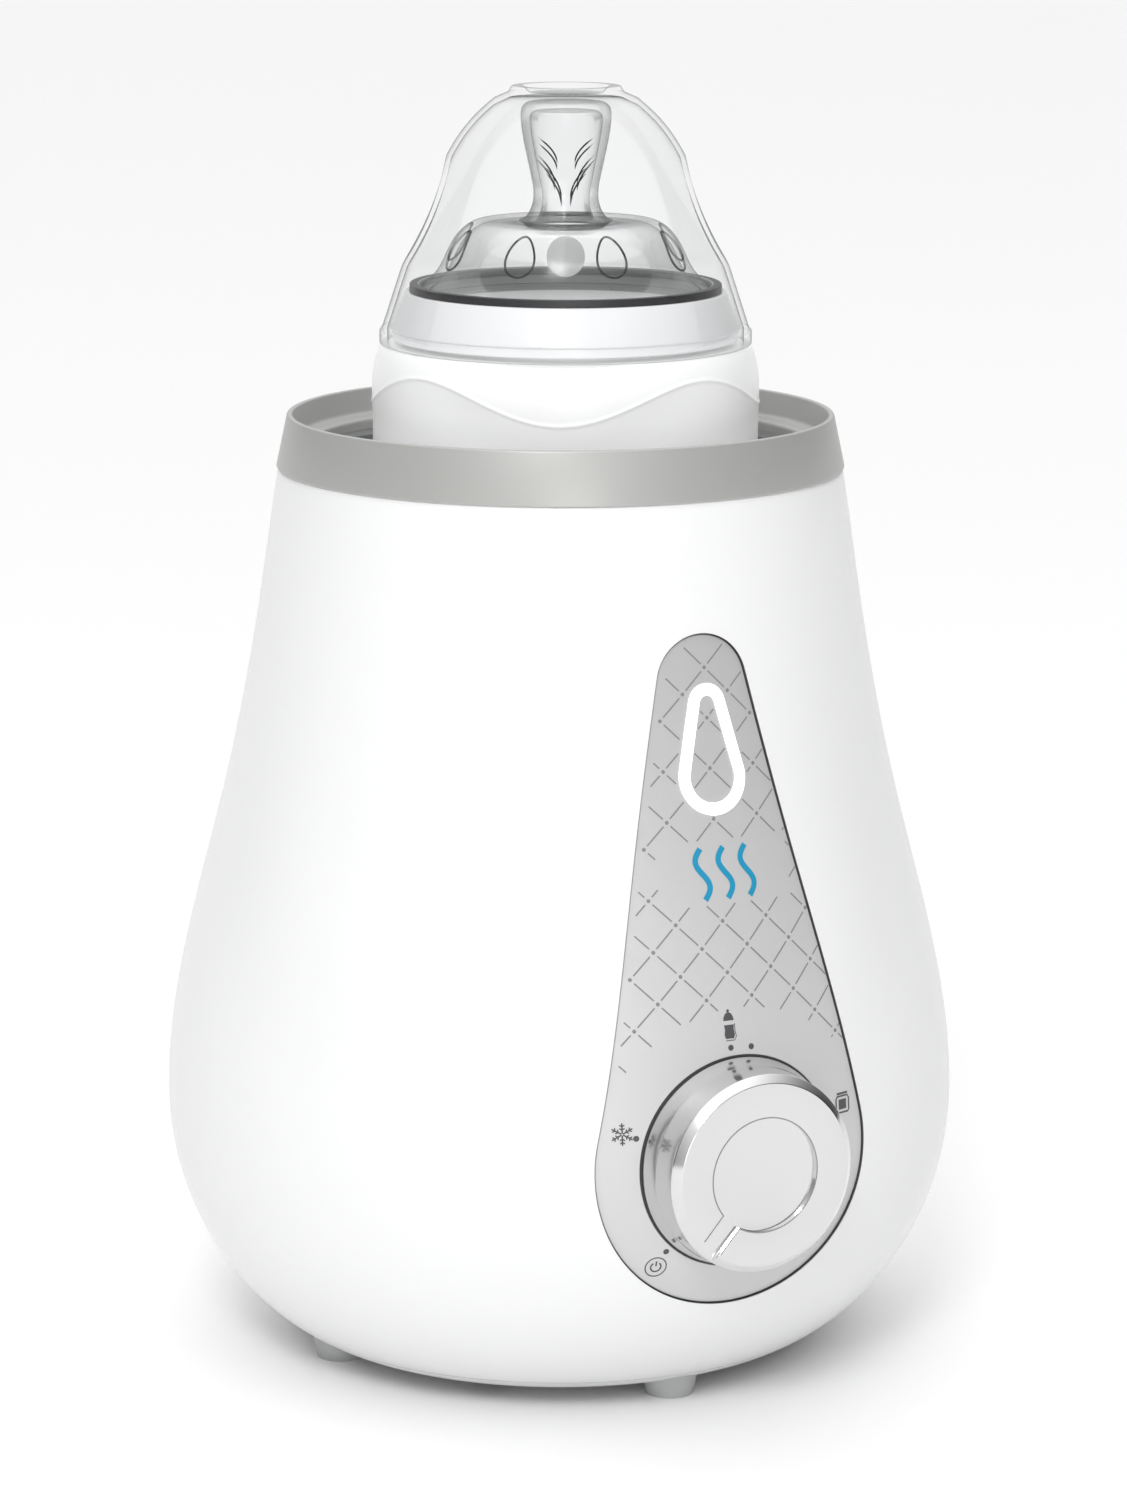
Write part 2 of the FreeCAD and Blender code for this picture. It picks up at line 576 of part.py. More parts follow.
def make_knob(shaft_flat, bush_front):
    """Hollow dial knob with a keyhole recess that points at the setting."""
    rim_y = DIAL_FACE_Y + DIAL_CHAMFER
    section = [
        V(0, DIAL_FACE_Y, 0),
        V(DIAL_FACE_R - DIAL_CHAMFER, DIAL_FACE_Y, 0),
        V(DIAL_FACE_R, rim_y, 0),
        V(DIAL_BACK_R, DIAL_BACK_Y, 0),
        V(0, DIAL_BACK_Y, 0),
        V(0, DIAL_FACE_Y, 0),
    ]
    knob = Part.Face(Part.makePolygon(section)).revolve(V(0, 0, 0), BACK, 360)
    knob.translate(V(0, 0, DIAL_Z))
    face_back = DIAL_FACE_Y + POINTER_DEPTH + DIAL_WALL
    knob = knob.cut(rod(DIAL_FACE_R - DIAL_WALL, face_back, 0.0))
    hub = rod(HUB_R, face_back - WALL_OVERLAP, bush_front - HUB_GAP)
    knob = fused([knob, hub])
    bore = rod(SHAFT_R + SHAFT_PRESS_GAP, face_back + SHAFT_END_GAP, 0.0).cut(shaft_flat)
    knob = knob.cut(bore)
    recess_floor = DIAL_FACE_Y + POINTER_DEPTH
    recess = rod(POINTER_RECESS_R, FRONT_Y, recess_floor)
    half = POINTER_CHANNEL / 2
    channel = box((-half, half), (FRONT_Y, recess_floor), (0.0, DIAL_BACK_R + 1))
    channel.rotate(V(0, 0, 0), BACK, POINTER_OFF_DEG)
    channel.translate(V(0, 0, DIAL_Z))
    keep("knob", knob.cut(recess).cut(channel))


def make_panel():
    """Panel in its pocket on the housing's front, light pipe in its groove and the board with lamps behind."""
    layer = body_volume(PANEL_RECESS).cut(body_volume(PANEL_SUNK))
    panel = teardrop(PANEL_TOP_Z, PANEL_TOP_R, DIAL_Z, PANEL_LOW_R).common(layer)
    panel = panel.cut(rod(DIAL_HOLE_R, FRONT_Y, INNER_Y))
    band = teardrop(LOOP_TOP_Z, LOOP_TOP_R, LOOP_LOW_Z, LOOP_LOW_R)
    core = teardrop(LOOP_TOP_Z, LOOP_TOP_R - LOOP_BAND, LOOP_LOW_Z, LOOP_LOW_R - LOOP_BAND)
    band = band.cut(core)
    groove_layer = body_volume(LOOP_RECESS).cut(body_volume(LOOP_SUNK))
    loop = band.common(groove_layer)
    panel = panel.cut(loop)
    legs = []
    outside = body_volume(LOOP_SUNK)
    for z in loop_leg_heights():
        panel = panel.cut(rod(LOOP_LEG_R, FRONT_Y, INNER_Y, z))
        legs.append(rod(LOOP_LEG_R, FRONT_Y, BOARD_Y - LAMP_LENGTH - LAMP_GAP, z).common(outside))
    keep("control_panel", panel)
    keep("light_pipe", fused([loop] + legs))
    high, low = loop_leg_heights()
    board_back = BOARD_Y + BOARD_THICK
    rise = (low - BOARD_MARGIN, high + BOARD_MARGIN)
    board = box((-BOARD_HALF_WIDTH, BOARD_HALF_WIDTH), (BOARD_Y, board_back), rise)
    screws = []
    for z in board_post_heights():
        board = board.cut(rod(BOARD_SCREW_R, FRONT_Y, INNER_Y, z))
        head = rod(BOARD_SCREW_HEAD_R, board_back, board_back + BOARD_SCREW_HEAD_THICK, z)
        screws.append(fused([head, rod(BOARD_SCREW_R, BOARD_Y, board_back, z)]))
    keep("indicator_board", board)
    keep("board_screws", Part.makeCompound(screws))
    lamps = [rod(LAMP_R, BOARD_Y - LAMP_LENGTH, BOARD_Y, z) for z in (high, low)]
    keep("indicator_leds", Part.makeCompound(lamps))


def make_supply():
    """Cord gland with its open bore, its nut and the terminal block."""
    flange_back = GLAND_SEAT_Y + GLAND_FLANGE_THICK
    nose_length = GLAND_NOSE_Y - flange_back
    nose = Part.makeCone(GLAND_NOSE_BACK_R, GLAND_NOSE_TIP_R, nose_length, V(0, flange_back, GLAND_Z), BACK)
    flange = rod(GLAND_FLANGE_R, GLAND_SEAT_Y, flange_back, GLAND_Z)
    stem = rod(GLAND_STEM_R, GLAND_INNER_Y - GLAND_STEM_TAIL, GLAND_SEAT_Y, GLAND_Z)
    gland = fused([stem, flange, nose])
    for y in GLAND_GROOVES:
        back = y + GLAND_GROOVE_WIDTH
        groove = rod(GLAND_FLANGE_R, y, back, GLAND_Z).cut(rod(GLAND_GROOVE_FLOOR_R, y, back, GLAND_Z))
        gland = gland.cut(groove)
    keep("cord_gland", gland.cut(rod(GLAND_BORE_R, 0.0, REAR_Y, GLAND_Z)))
    nut = hexagon(GLAND_NUT_SIZE[0], GLAND_INNER_Y - GLAND_NUT_SIZE[1], GLAND_INNER_Y, GLAND_Z)
    keep("gland_nut", nut.cut(rod(GLAND_STEM_R, 0.0, REAR_Y, GLAND_Z)))
    floor_z = BASE_Z + SHELL_WALL
    top_z = floor_z + BLOCK_HEIGHT
    block = box((-BLOCK_HALF_WIDTH, BLOCK_HALF_WIDTH), (BLOCK_FRONT_Y, BLOCK_BACK_Y), (floor_z, top_z))
    well_r, well_rise = BLOCK_SCREW_WELL
    middle_y = (BLOCK_FRONT_Y + BLOCK_BACK_Y) / 2
    for x in (-BLOCK_PITCH, 0.0, BLOCK_PITCH):
        block = block.cut(disc(well_r, floor_z + well_rise, top_z, x, middle_y))
        block = block.cut(rod(BLOCK_WIRE_HOLE_R, BLOCK_FRONT_Y, BLOCK_BACK_Y, floor_z + BLOCK_WIRE_RISE, x))
    keep("terminal_block", block)
    make_wires(floor_z + BLOCK_WIRE_RISE)


def make_wires(block_z):
    """Three inner wires: block to thermostat, thermostat to heater, heater to block."""
    tab_y = WELL_CUP_FLOOR_Y + WELL_CUP_WALL + THERMOSTAT_SIZE[1] / 2
    tab_z = DIAL_Z - THERMOSTAT_SIZE[2] / 2 - TAB_SIZE[2]
    heater_z = WELL_FLOOR_Z - TANK_WALL - HEATER_THICK - PTC_SIZE[2] - CLAMP_THICK
    left, right = TAB_OFFSETS
    supply = [
        (-BLOCK_PITCH, BLOCK_FRONT_Y, block_z),
        (-BLOCK_PITCH, 4.0, block_z),
        (-8.0, -28.0, 11.0),
        (left, tab_y, 14.0),
        (left, tab_y, tab_z),
    ]
    keep("wire_supply", routed_wire(supply, WIRE_R, WIRE_BEND))
    heater = [
        (right, tab_y, tab_z),
        (right, tab_y, 14.0),
        (9.0, -34.0, 12.0),
        (10.0, -8.0, 16.0),
        (10.0, -8.0, heater_z),
    ]
    keep("wire_heater", routed_wire(heater, WIRE_R, WIRE_BEND))
    back = [
        (-10.0, 8.0, heater_z),
        (-10.0, 8.0, 20.0),
        (3.0, 9.0, 16.0),
        (BLOCK_PITCH, 12.0, block_z),
        (BLOCK_PITCH, BLOCK_FRONT_Y, block_z),
    ]
    keep("wire_return", routed_wire(back, WIRE_R, RETURN_BEND))


def make_bottle():
    """Bottle, teat, collar, gasket and cap, drawn on the housing's axis and then moved."""
    shoulder = Part.BSplineCurve()
    shoulder.interpolate([V(r, 0, z) for r, z in SHOULDER])
    middle = BOTTLE_CORNER_MIDDLE
    corner = Part.Arc(
        V(BOTTLE_STAND_R, 0, WELL_FLOOR_Z),
        V(middle[0], 0, middle[1]),
        V(BOTTLE_R, 0, BOTTLE_CORNER_Z),
    )
    neck_foot = SHOULDER[-1]
    dimple_z = WELL_FLOOR_Z + BOTTLE_DIMPLE_DEPTH
    foot = [(0, dimple_z), (BOTTLE_DIMPLE_TOP_R, dimple_z), (BOTTLE_DIMPLE_R, WELL_FLOOR_Z)]
    foot.append((BOTTLE_STAND_R, WELL_FLOOR_Z))
    top = [neck_foot, (NECK_R, neck_foot[1]), (NECK_R, NECK_TOP_Z), (0, NECK_TOP_Z), foot[0]]
    edges = profile_edges(foot) + [corner.toShape()]
    edges += profile_edges([(BOTTLE_R, BOTTLE_CORNER_Z), SHOULDER[0]]) + [shoulder.toShape()]
    outer = revolved(edges + profile_edges(top))
    inner_r = BOTTLE_R - BOTTLE_WALL
    neck_inner = NECK_R - BOTTLE_WALL
    floor = dimple_z + BOTTLE_WALL
    side_z, neck_z = BOTTLE_INNER_SHOULDER
    hollow = [(0, floor), (inner_r - BOTTLE_INNER_CORNER, floor), (inner_r, floor + BOTTLE_INNER_CORNER)]
    hollow += [(inner_r, side_z), (neck_inner, neck_z), (neck_inner, NECK_TOP_Z), (0, NECK_TOP_Z)]
    place("bottle_body", outer.cut(turned(hollow)))
    make_teat()
    make_collar()
    make_cap()


def make_collar():
    """Screw collar, bored plain over the neck, and the dark gasket band on its top."""
    seat_z = NECK_TOP_Z + TEAT_FLANGE_THICK + COLLAR_SEAT_GAP
    edge_r, edge_z = COLLAR_EDGE
    collar = [
        (COLLAR_BORE_R, COLLAR_SKIRT_Z),
        (COLLAR_SKIRT_R, COLLAR_SKIRT_Z),
        (COLLAR_SKIRT_R, COLLAR_LOW_Z - COLLAR_STEP),
        (COLLAR_LOW_R, COLLAR_LOW_Z),
        (COLLAR_TOP_R + edge_r, COLLAR_TOP_Z - edge_z),
        (COLLAR_TOP_R - edge_r, COLLAR_TOP_Z),
        (COLLAR_HOLE_R, COLLAR_TOP_Z),
        (COLLAR_HOLE_R, seat_z),
        (COLLAR_BORE_R, seat_z),
    ]
    place("collar", turned(collar))
    gasket = ring(COLLAR_HOLE_R, COLLAR_TOP_R - GASKET_INSET, COLLAR_TOP_Z, COLLAR_TOP_Z + GASKET_THICK)
    place("collar_gasket", gasket)


def arc_edge(points):
    """Circular edge through three (radius, height) points."""
    return Part.Arc(*[V(r, 0, z) for r, z in points]).toShape()


def make_teat():
    """Hollow silicone teat: flange under the collar, dome, slim neck and rounded tip."""
    flange = NECK_TOP_Z
    flange_top = flange + TEAT_FLANGE_THICK
    dome_r = TEAT_DOME[0][0]
    inner_dome = [(r - TEAT_LINING_DROP[0], z - TEAT_LINING_DROP[1]) for r, z in TEAT_DOME]
    dome = Part.BSplineCurve()
    dome.interpolate([V(r, 0, z) for r, z in TEAT_DOME])
    lining = Part.BSplineCurve()
    lining.interpolate([V(r, 0, z) for r, z in inner_dome])
    outer = spline(NIPPLE, (-0.99, 0.13), (0.05, 1))
    inner = spline(NIPPLE_BORE, (-0.99, 0.13), (0.05, 1))
    foot = [inner_dome[0], (TEAT_FLANGE_HOLE_R, flange), (TEAT_FLANGE_R, flange), (TEAT_FLANGE_R, flange_top)]
    edges = profile_edges(foot + [(dome_r, flange_top), TEAT_DOME[0]])
    edges += [dome.toShape(), lining.toShape(), outer.toShape(), inner.toShape()]
    edges += [arc_edge(NIPPLE_TIP), arc_edge(NIPPLE_BORE_TIP)]
    edges += profile_edges([TEAT_DOME[-1], NIPPLE[0]])
    edges += profile_edges([inner_dome[-1], NIPPLE_BORE[0]])
    tip, bore_tip = NIPPLE_TIP[-1], NIPPLE_BORE_TIP[-1]
    edges += profile_edges([tip, (0, tip[1]), (0, bore_tip[1]), bore_tip])
    place("teat", revolved(edges))


def make_cap():
    """Clear dome cap with a flange, a beaded dish on top and a finger grip scooped from each side."""
    curve = spline(CAP_DOME, CAP_DOME_START, CAP_DOME_END)
    inner_curve = inset_curve(curve, CAP_WALL)
    top = [CAP_DOME[-1]] + CAP_BEAD
    top += [(CAP_DISH_R, CAP_DISH_Z), (0, CAP_DISH_Z), (0, CAP_FLANGE_Z), (CAP_FLANGE_R, CAP_FLANGE_Z)]
    dome_foot = CAP_DOME[0]
    top += [(CAP_FLANGE_R, CAP_FLANGE_TOP_Z), (dome_foot[0] + CAP_FLANGE_STEP, CAP_FLANGE_TOP_Z), dome_foot]
    outer = revolved([curve.toShape()] + profile_edges(top))
    inner_low = inner_curve.StartPoint
    inner_top = inner_curve.EndPoint
    ceiling = CAP_DISH_Z - CAP_WALL
    inside = [(inner_top.x, inner_top.z), (CAP_CEILING_R, ceiling), (0, ceiling), (0, CAP_FLANGE_Z)]
    inside += [(inner_low.x, CAP_FLANGE_Z), (inner_low.x, inner_low.z)]
    hollow = revolved([inner_curve.toShape()] + profile_edges(inside))
    scoops = grip_scoops(0.0)
    walls = grip_scoops(CAP_WALL)
    place("dome_cap", outer.cut(hollow.cut(walls)).cut(scoops))


def grip_scoops(grow):
    """Two lens-shaped finger grips, one each side of the dome, grown inwards by a wall."""
    lean = math.radians(GRIP_LEAN_DEG)
    x = GRIP_MIDDLE[0] + GRIP_R * math.cos(lean)
    z = GRIP_MIDDLE[1] + GRIP_R * math.sin(lean)
    scoop = Part.makeCylinder(GRIP_R + grow, 2 * GRIP_HALF_LENGTH, V(x, -GRIP_HALF_LENGTH, z), BACK)
    other = scoop.copy()
    other.rotate(V(0, 0, 0), UP, 180)
    both = Part.makeCompound([scoop, other])
    both.rotate(V(0, 0, 0), UP, GRIP_TURN_DEG)
    return both


def place(name, shape):
    """Register a piece of the bottle on the bottle's own axis."""
    moved = shape.copy()
    moved.translate(BOTTLE_AXIS)
    keep(name, moved)


def main():
    """Build every piece and write one file for each."""
    keep("outer_shell", make_shell())
    make_base()
    make_mouth()
    make_heater()
    make_thermostat()
    make_panel()
    make_supply()
    make_bottle()
    os.makedirs("parts", exist_ok=True)
    for name, shape in PARTS.items():
        solids = shape.Solids
        good = shape.isValid() and all(s.isClosed() for s in solids)
        print(f"{name:22s} solids {len(solids)} valid {good} volume {shape.Volume:.0f}")
        body = solids[0] if len(solids) == 1 else Part.makeCompound(solids)
        body.exportStep(f"parts/{name}.step")


main()
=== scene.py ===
"""Looks of the bottle warmer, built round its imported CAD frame. Metres, +Z up, the dial towards -Y."""
import json
import math

import bmesh
import bpy
import numpy as np
from mathutils import Matrix, Vector
from mathutils.geometry import delaunay_2d_cdt


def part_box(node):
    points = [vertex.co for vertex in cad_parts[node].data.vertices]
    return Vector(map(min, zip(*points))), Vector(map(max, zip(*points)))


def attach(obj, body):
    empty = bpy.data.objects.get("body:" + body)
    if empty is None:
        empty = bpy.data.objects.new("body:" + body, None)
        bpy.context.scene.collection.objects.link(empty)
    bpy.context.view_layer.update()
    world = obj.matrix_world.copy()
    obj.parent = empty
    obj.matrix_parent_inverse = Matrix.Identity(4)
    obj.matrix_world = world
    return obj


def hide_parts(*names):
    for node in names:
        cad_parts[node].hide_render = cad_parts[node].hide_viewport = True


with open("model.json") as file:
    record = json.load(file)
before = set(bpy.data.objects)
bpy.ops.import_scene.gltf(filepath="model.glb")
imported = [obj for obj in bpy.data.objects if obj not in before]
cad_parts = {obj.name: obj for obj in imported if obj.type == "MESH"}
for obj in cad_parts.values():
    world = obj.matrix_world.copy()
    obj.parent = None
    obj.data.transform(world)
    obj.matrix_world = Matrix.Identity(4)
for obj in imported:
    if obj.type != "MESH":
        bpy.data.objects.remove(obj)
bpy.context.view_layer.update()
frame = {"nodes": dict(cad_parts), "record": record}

MM = 0.001
TURN = 2 * math.pi

# Places and sizes read from the frame.
SHELL_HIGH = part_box("outer_shell")[1]
RIM_LOW, RIM_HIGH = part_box("rim_ring")
KNOB_LOW, KNOB_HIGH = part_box("knob")
GLAND_LOW, GLAND_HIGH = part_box("cord_gland")
BOTTLE_LOW, BOTTLE_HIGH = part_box("bottle_body")
GASKET_LOW, GASKET_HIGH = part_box("collar_gasket")
CAP_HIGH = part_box("dome_cap")[1]
SHOULDER_Z = SHELL_HIGH.z
BOTTLE_X = (BOTTLE_LOW.x + BOTTLE_HIGH.x) / 2
BOTTLE_Y = (BOTTLE_LOW.y + BOTTLE_HIGH.y) / 2
BOTTLE_R = (BOTTLE_HIGH.x - BOTTLE_LOW.x) / 2
DIAL_Z = (KNOB_LOW.z + KNOB_HIGH.z) / 2
DIAL_R = (KNOB_HIGH.z - KNOB_LOW.z) / 2
DIAL_FOOT_R = DIAL_R + 0.65 * MM

# Housing outline in millimetres, as in the CAD model.
LOWER_FLANK = [(43.5, 2.5), (50.0, 2.6), (70.35, 18.0), (70.35, 46.0)]
UPPER_FLANK = [(70.35, 46.0), (67.5, 70.0), (60.0, 100.0), (53.9, 130.0), (49.65, 158.0)]
SHOULDER_DIRECTION = (-0.16, 0.98)
SHELL_WALL = 2.4 * MM
SEAM_R = 50.0 * MM
LATHE_STEPS = 256

# The side of the bottle that faces the camera, as an angle about +Z from +X.
FRONT_TURN = math.radians(-116.5)


# ---------------------------------------------------------------- outlines

def in_metres(points):
    """Points given in millimetres, in metres."""
    return [tuple(value * MM for value in point) for point in points]


def bezier(poles, count):
    """Points along a cubic Bezier curve."""
    t = np.linspace(0, 1, count)[:, None]
    a, b, c, d = [np.array(p) for p in poles]
    return (1 - t) ** 3 * a + 3 * (1 - t) ** 2 * t * b + 3 * (1 - t) * t * t * c + t ** 3 * d


def smooth_curve(points, start, end, count):
    """Points along a cubic spline through points, with unit end directions."""
    p = np.array(points, float)
    chord = np.linalg.norm(np.diff(p, axis=0), axis=1)
    knots = np.concatenate([[0], np.cumsum(chord)])
    size = len(p)
    system = np.zeros((size, size))
    right = np.zeros((size, 2))
    system[0, 0] = system[-1, -1] = 1
    right[0] = np.array(start) / np.linalg.norm(start)
    right[-1] = np.array(end) / np.linalg.norm(end)
    for i in range(1, size - 1):
        before, after = chord[i - 1], chord[i]
        system[i, i - 1:i + 2] = [after, 2 * (before + after), before]
        slope_before = (p[i] - p[i - 1]) / before
        slope_after = (p[i + 1] - p[i]) / after
        right[i] = 3 * (after * slope_before + before * slope_after)
    slopes = np.linalg.solve(system, right)
    places = np.linspace(0, knots[-1], count)
    result = []
    for place in places:
        i = min(int(np.searchsorted(knots, place, "right")) - 1, size - 2)
        u = (place - knots[i]) / chord[i]
        result.append(
            (2 * u ** 3 - 3 * u ** 2 + 1) * p[i]
            + (u ** 3 - 2 * u ** 2 + u) * chord[i] * slopes[i]
            + (3 * u ** 2 - 2 * u ** 3) * p[i + 1]
            + (u ** 3 - u ** 2) * chord[i] * slopes[i + 1]
        )
    return np.array(result)


def rounded(corners, steps=6):
    """Closed or open outline whose corners, given as (r, z, fillet), are rounded."""
    points = []
    count = len(corners)
    for i, (r, z, fillet) in enumerate(corners):
        corner = Vector((r, z))
        if fillet <= 0:
            points.append(corner)
            continue
        before = Vector(corners[i - 1][:2])
        after = Vector(corners[(i + 1) % count][:2])
        come = (before - corner).normalized()
        go = (after - corner).normalized()
        half = come.angle(go) / 2
        reach = fillet / math.tan(half)
        centre = corner + (come + go).normalized() * (fillet / math.sin(half))
        start = corner + come * reach - centre
        end = corner + go * reach - centre
        turn = start.angle_signed(end)
        for step in range(steps + 1):
            angle = -turn * step / steps
            c, s = math.cos(angle), math.sin(angle)
            points.append(centre + Vector((start.x * c - start.y * s, start.x * s + start.y * c)))
    return [(p.x, p.y) for p in points]


def flank():
    """Housing outline from the underside to the shoulder, in metres."""
    lower = bezier(LOWER_FLANK, 60)
    upper = smooth_curve(UPPER_FLANK, (0, 1), SHOULDER_DIRECTION, 110)
    return np.vstack([lower, upper[1:]]) * MM


FLANK = flank()


def body_radius(z):
    """Housing radius at a height."""
    return float(np.interp(z, FLANK[:, 1], FLANK[:, 0]))


def on_body(x, z, proud):
    """Point of the housing's front at (x, z), standing proud of the surface."""
    r = body_radius(z) + proud
    return Vector((x, -math.sqrt(max(r * r - x * x, 0.0)), z))


def teardrop(top_z, top_r, low_z, low_r, count=48):
    """Outline, anticlockwise from the front, of two circles and their common tangents."""
    lean = math.asin((low_r - top_r) / (top_z - low_z))
    points = []
    for k in range(count + 1):
        a = lean + (math.pi - 2 * lean) * k / count
        points.append((top_r * math.cos(a), top_z + top_r * math.sin(a)))
    side = max(2, int((top_z - low_z) / (1.5 * MM)))
    last = points[-1]
    first_low = (low_r * math.cos(math.pi - lean), low_z + low_r * math.sin(math.pi - lean))
    points += blend_points(last, first_low, side)
    for k in range(2 * count + 1):
        a = math.pi - lean + (math.pi + 2 * lean) * k / (2 * count)
        points.append((low_r * math.cos(a), low_z + low_r * math.sin(a)))
    points += blend_points(points[-1], points[0], side)
    return points


def blend_points(a, b, count):
    """Points strictly between two points."""
    return [(a[0] + (b[0] - a[0]) * k / count, a[1] + (b[1] - a[1]) * k / count) for k in range(1, count)]


def circle(x, z, r, count=64):
    """Circle outline, anticlockwise."""
    return [(x + r * math.cos(TURN * k / count), z + r * math.sin(TURN * k / count)) for k in range(count)]


def shrunk(outline, inset):
    """Smooth closed outline moved inwards by inset."""
    moved = []
    for i, (x, z) in enumerate(outline):
        ax, az = outline[i - 1]
        bx, bz = outline[(i + 1) % len(outline)]
        tangent = Vector((bx - ax, bz - az)).normalized()
        moved.append((x - tangent.y * inset, z + tangent.x * inset))
    return moved


def inside(x, z, outline):
    """Whether a point lies inside a closed outline."""
    hit = False
    for i in range(len(outline)):
        ax, az = outline[i - 1]
        bx, bz = outline[i]
        if (az > z) != (bz > z) and x < (bx - ax) * (z - az) / (bz - az) + ax:
            hit = not hit
    return hit


# ---------------------------------------------------------------- meshes

def add_piece(name, verts, faces, body, look, sharp_deg=35):
    """New mesh piece with smooth shading up to an edge angle, riding on a body."""
    mesh = bpy.data.meshes.new(name)
    mesh.from_pydata([tuple(v) for v in verts], [], faces)
    mesh.validate()
    bm = bmesh.new()
    bm.from_mesh(mesh)
    bmesh.ops.remove_doubles(bm, verts=bm.verts, dist=1e-7)
    bmesh.ops.recalc_face_normals(bm, faces=bm.faces)
    bm.to_mesh(mesh)
    bm.free()
    piece = bpy.data.objects.new(name, mesh)
    bpy.context.scene.collection.objects.link(piece)
    finish_piece(piece, body, look, sharp_deg)
    return piece


def finish_piece(piece, body, look, sharp_deg=35):
    """Shading, material and body of a piece."""
    mesh = piece.data
    mesh.polygons.foreach_set("use_smooth", [True] * len(mesh.polygons))
    mesh.set_sharp_from_angle(angle=math.radians(sharp_deg))
    mesh.materials.clear()
    mesh.materials.append(LOOKS[look])
    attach(piece, body)


def lathe_mesh(outline, centre=(0.0, 0.0), steps=LATHE_STEPS, bend=None):
    """Vertices and faces of an outline turned about an upright axis; bend(r, z, angle) may move points."""
    verts = []
    faces = []
    count = len(outline)
    for step in range(steps):
        angle = TURN * step / steps
        c, s = math.cos(angle), math.sin(angle)
        for r, z in outline:
            if bend:
                r, z = bend(r, z, angle)
            verts.append((centre[0] + r * c, centre[1] + r * s, z))
    for step in range(steps):
        a = step * count
        b = ((step + 1) % steps) * count
        for i in range(count):
            j = (i + 1) % count
            if outline[i][0] < 1e-9 and outline[j][0] < 1e-9:
                continue
            faces.append((a + i, b + i, b + j, a + j))
    return verts, faces


def lathe(name, outline, body, look, centre=(0.0, 0.0), bend=None, sharp_deg=35,
          steps=LATHE_STEPS):
    """Turned piece from a closed outline of (radius, height) points."""
    verts, faces = lathe_mesh(outline, centre, steps, bend)
    return add_piece(name, verts, faces, body, look, sharp_deg)


def cut_away(piece, cutter):
    """Boolean difference, applied; the cutter goes."""
    modifier = piece.modifiers.new("cut", "BOOLEAN")
    modifier.operation = "DIFFERENCE"
    modifier.solver = "EXACT"
    modifier.object = cutter
    apply_modifiers(piece)
    bpy.data.objects.remove(cutter)


def apply_modifiers(piece):
    """Replace a piece's mesh by what its modifiers make of it."""
    graph = bpy.context.evaluated_depsgraph_get()
    mesh = bpy.data.meshes.new_from_object(piece.evaluated_get(graph))
    piece.modifiers.clear()
    piece.data = mesh


def prism(outline, front_y, back_y):
    """Closed prism along Y over an outline in (x, z), as a loose cutter."""
    count = len(outline)
    verts = [(x, front_y, z) for x, z in outline] + [(x, back_y, z) for x, z in outline]
    faces = [tuple(range(count)), tuple(reversed(range(count, 2 * count)))]
    faces += [(i, (i + 1) % count, count + (i + 1) % count, count + i) for i in range(count)]
    mesh = bpy.data.meshes.new("cutter")
    mesh.from_pydata(verts, [], faces)
    bm = bmesh.new()
    bm.from_mesh(mesh)
    bmesh.ops.recalc_face_normals(bm, faces=bm.faces)
    bm.to_mesh(mesh)
    bm.free()
    cutter = bpy.data.objects.new("cutter", mesh)
    bpy.context.scene.collection.objects.link(cutter)
    return cutter


def triangulated(outer, holes, spacing):
    """Points and triangles that fill an outline, less its holes, with a grid inside."""
    points = []
    edges = []
    for loop in [outer] + holes:
        start = len(points)
        points += loop
        edges += [(start + i, start + (i + 1) % len(loop)) for i in range(len(loop))]
    keep_out = [shrunk(hole, -spacing * 0.5) for hole in holes]
    room = shrunk(outer, spacing * 0.5)
    xs = [p[0] for p in outer]
    zs = [p[1] for p in outer]
    z = min(zs)
    while z < max(zs):
        x = min(xs)
        while x < max(xs):
            if inside(x, z, room) and not any(inside(x, z, hole) for hole in keep_out):
                points.append((x, z))
            x += spacing
        z += spacing
    result = delaunay_2d_cdt([Vector(p) for p in points], edges, [], 0, 1e-9)
    flat, triangles = result[0], result[2]
    kept = []
    for triangle in triangles:
        x = sum(flat[i].x for i in triangle) / 3
        z = sum(flat[i].y for i in triangle) / 3
        if inside(x, z, outer) and not any(inside(x, z, hole) for hole in holes):
            kept.append(tuple(triangle))
    return [(p.x, p.y) for p in flat], kept


def body_patch(outer, holes, proud, depth, edge, spacing=1.6 * MM, edge_steps=5):
    """Plate that hugs the housing's front: rounded front edges, straight walls, open at the back."""
    top, triangles = triangulated(shrunk(outer, edge), [shrunk(hole, -edge) for hole in holes], spacing)
    verts = [on_body(x, z, proud) for x, z in top]
    faces = list(triangles)
    for outline, sign in [(outer, 1)] + [(hole, -1) for hole in holes]:
        previous = None
        for step in range(edge_steps + 2):
            if step <= edge_steps:
                angle = math.pi / 2 * step / edge_steps
                inset = edge * (1 - math.sin(angle))
                height = proud - edge * (1 - math.cos(angle))
            else:
                inset = 0.0
                height = -depth
            start = len(verts)
            verts += [on_body(x, z, height) for x, z in shrunk(outline, sign * inset)]
            if previous is not None:
                count = len(outline)
                faces += [(previous + i, start + i, start + (i + 1) % count, previous + (i + 1) % count)
                          for i in range(count)]
            previous = start
    return verts, faces


# ---------------------------------------------------------------- materials

def node(tree, kind, inputs=None, **properties):
    """New shader node. Each input, by name or number, is fed by a socket or set to a value."""
    made = tree.nodes.new(kind)
    for name, value in properties.items():
        setattr(made, name, value)
    for key, value in (inputs or {}).items():
        if isinstance(value, bpy.types.NodeSocket):
            tree.links.new(value, made.inputs[key])
        else:
            made.inputs[key].default_value = value
    return made


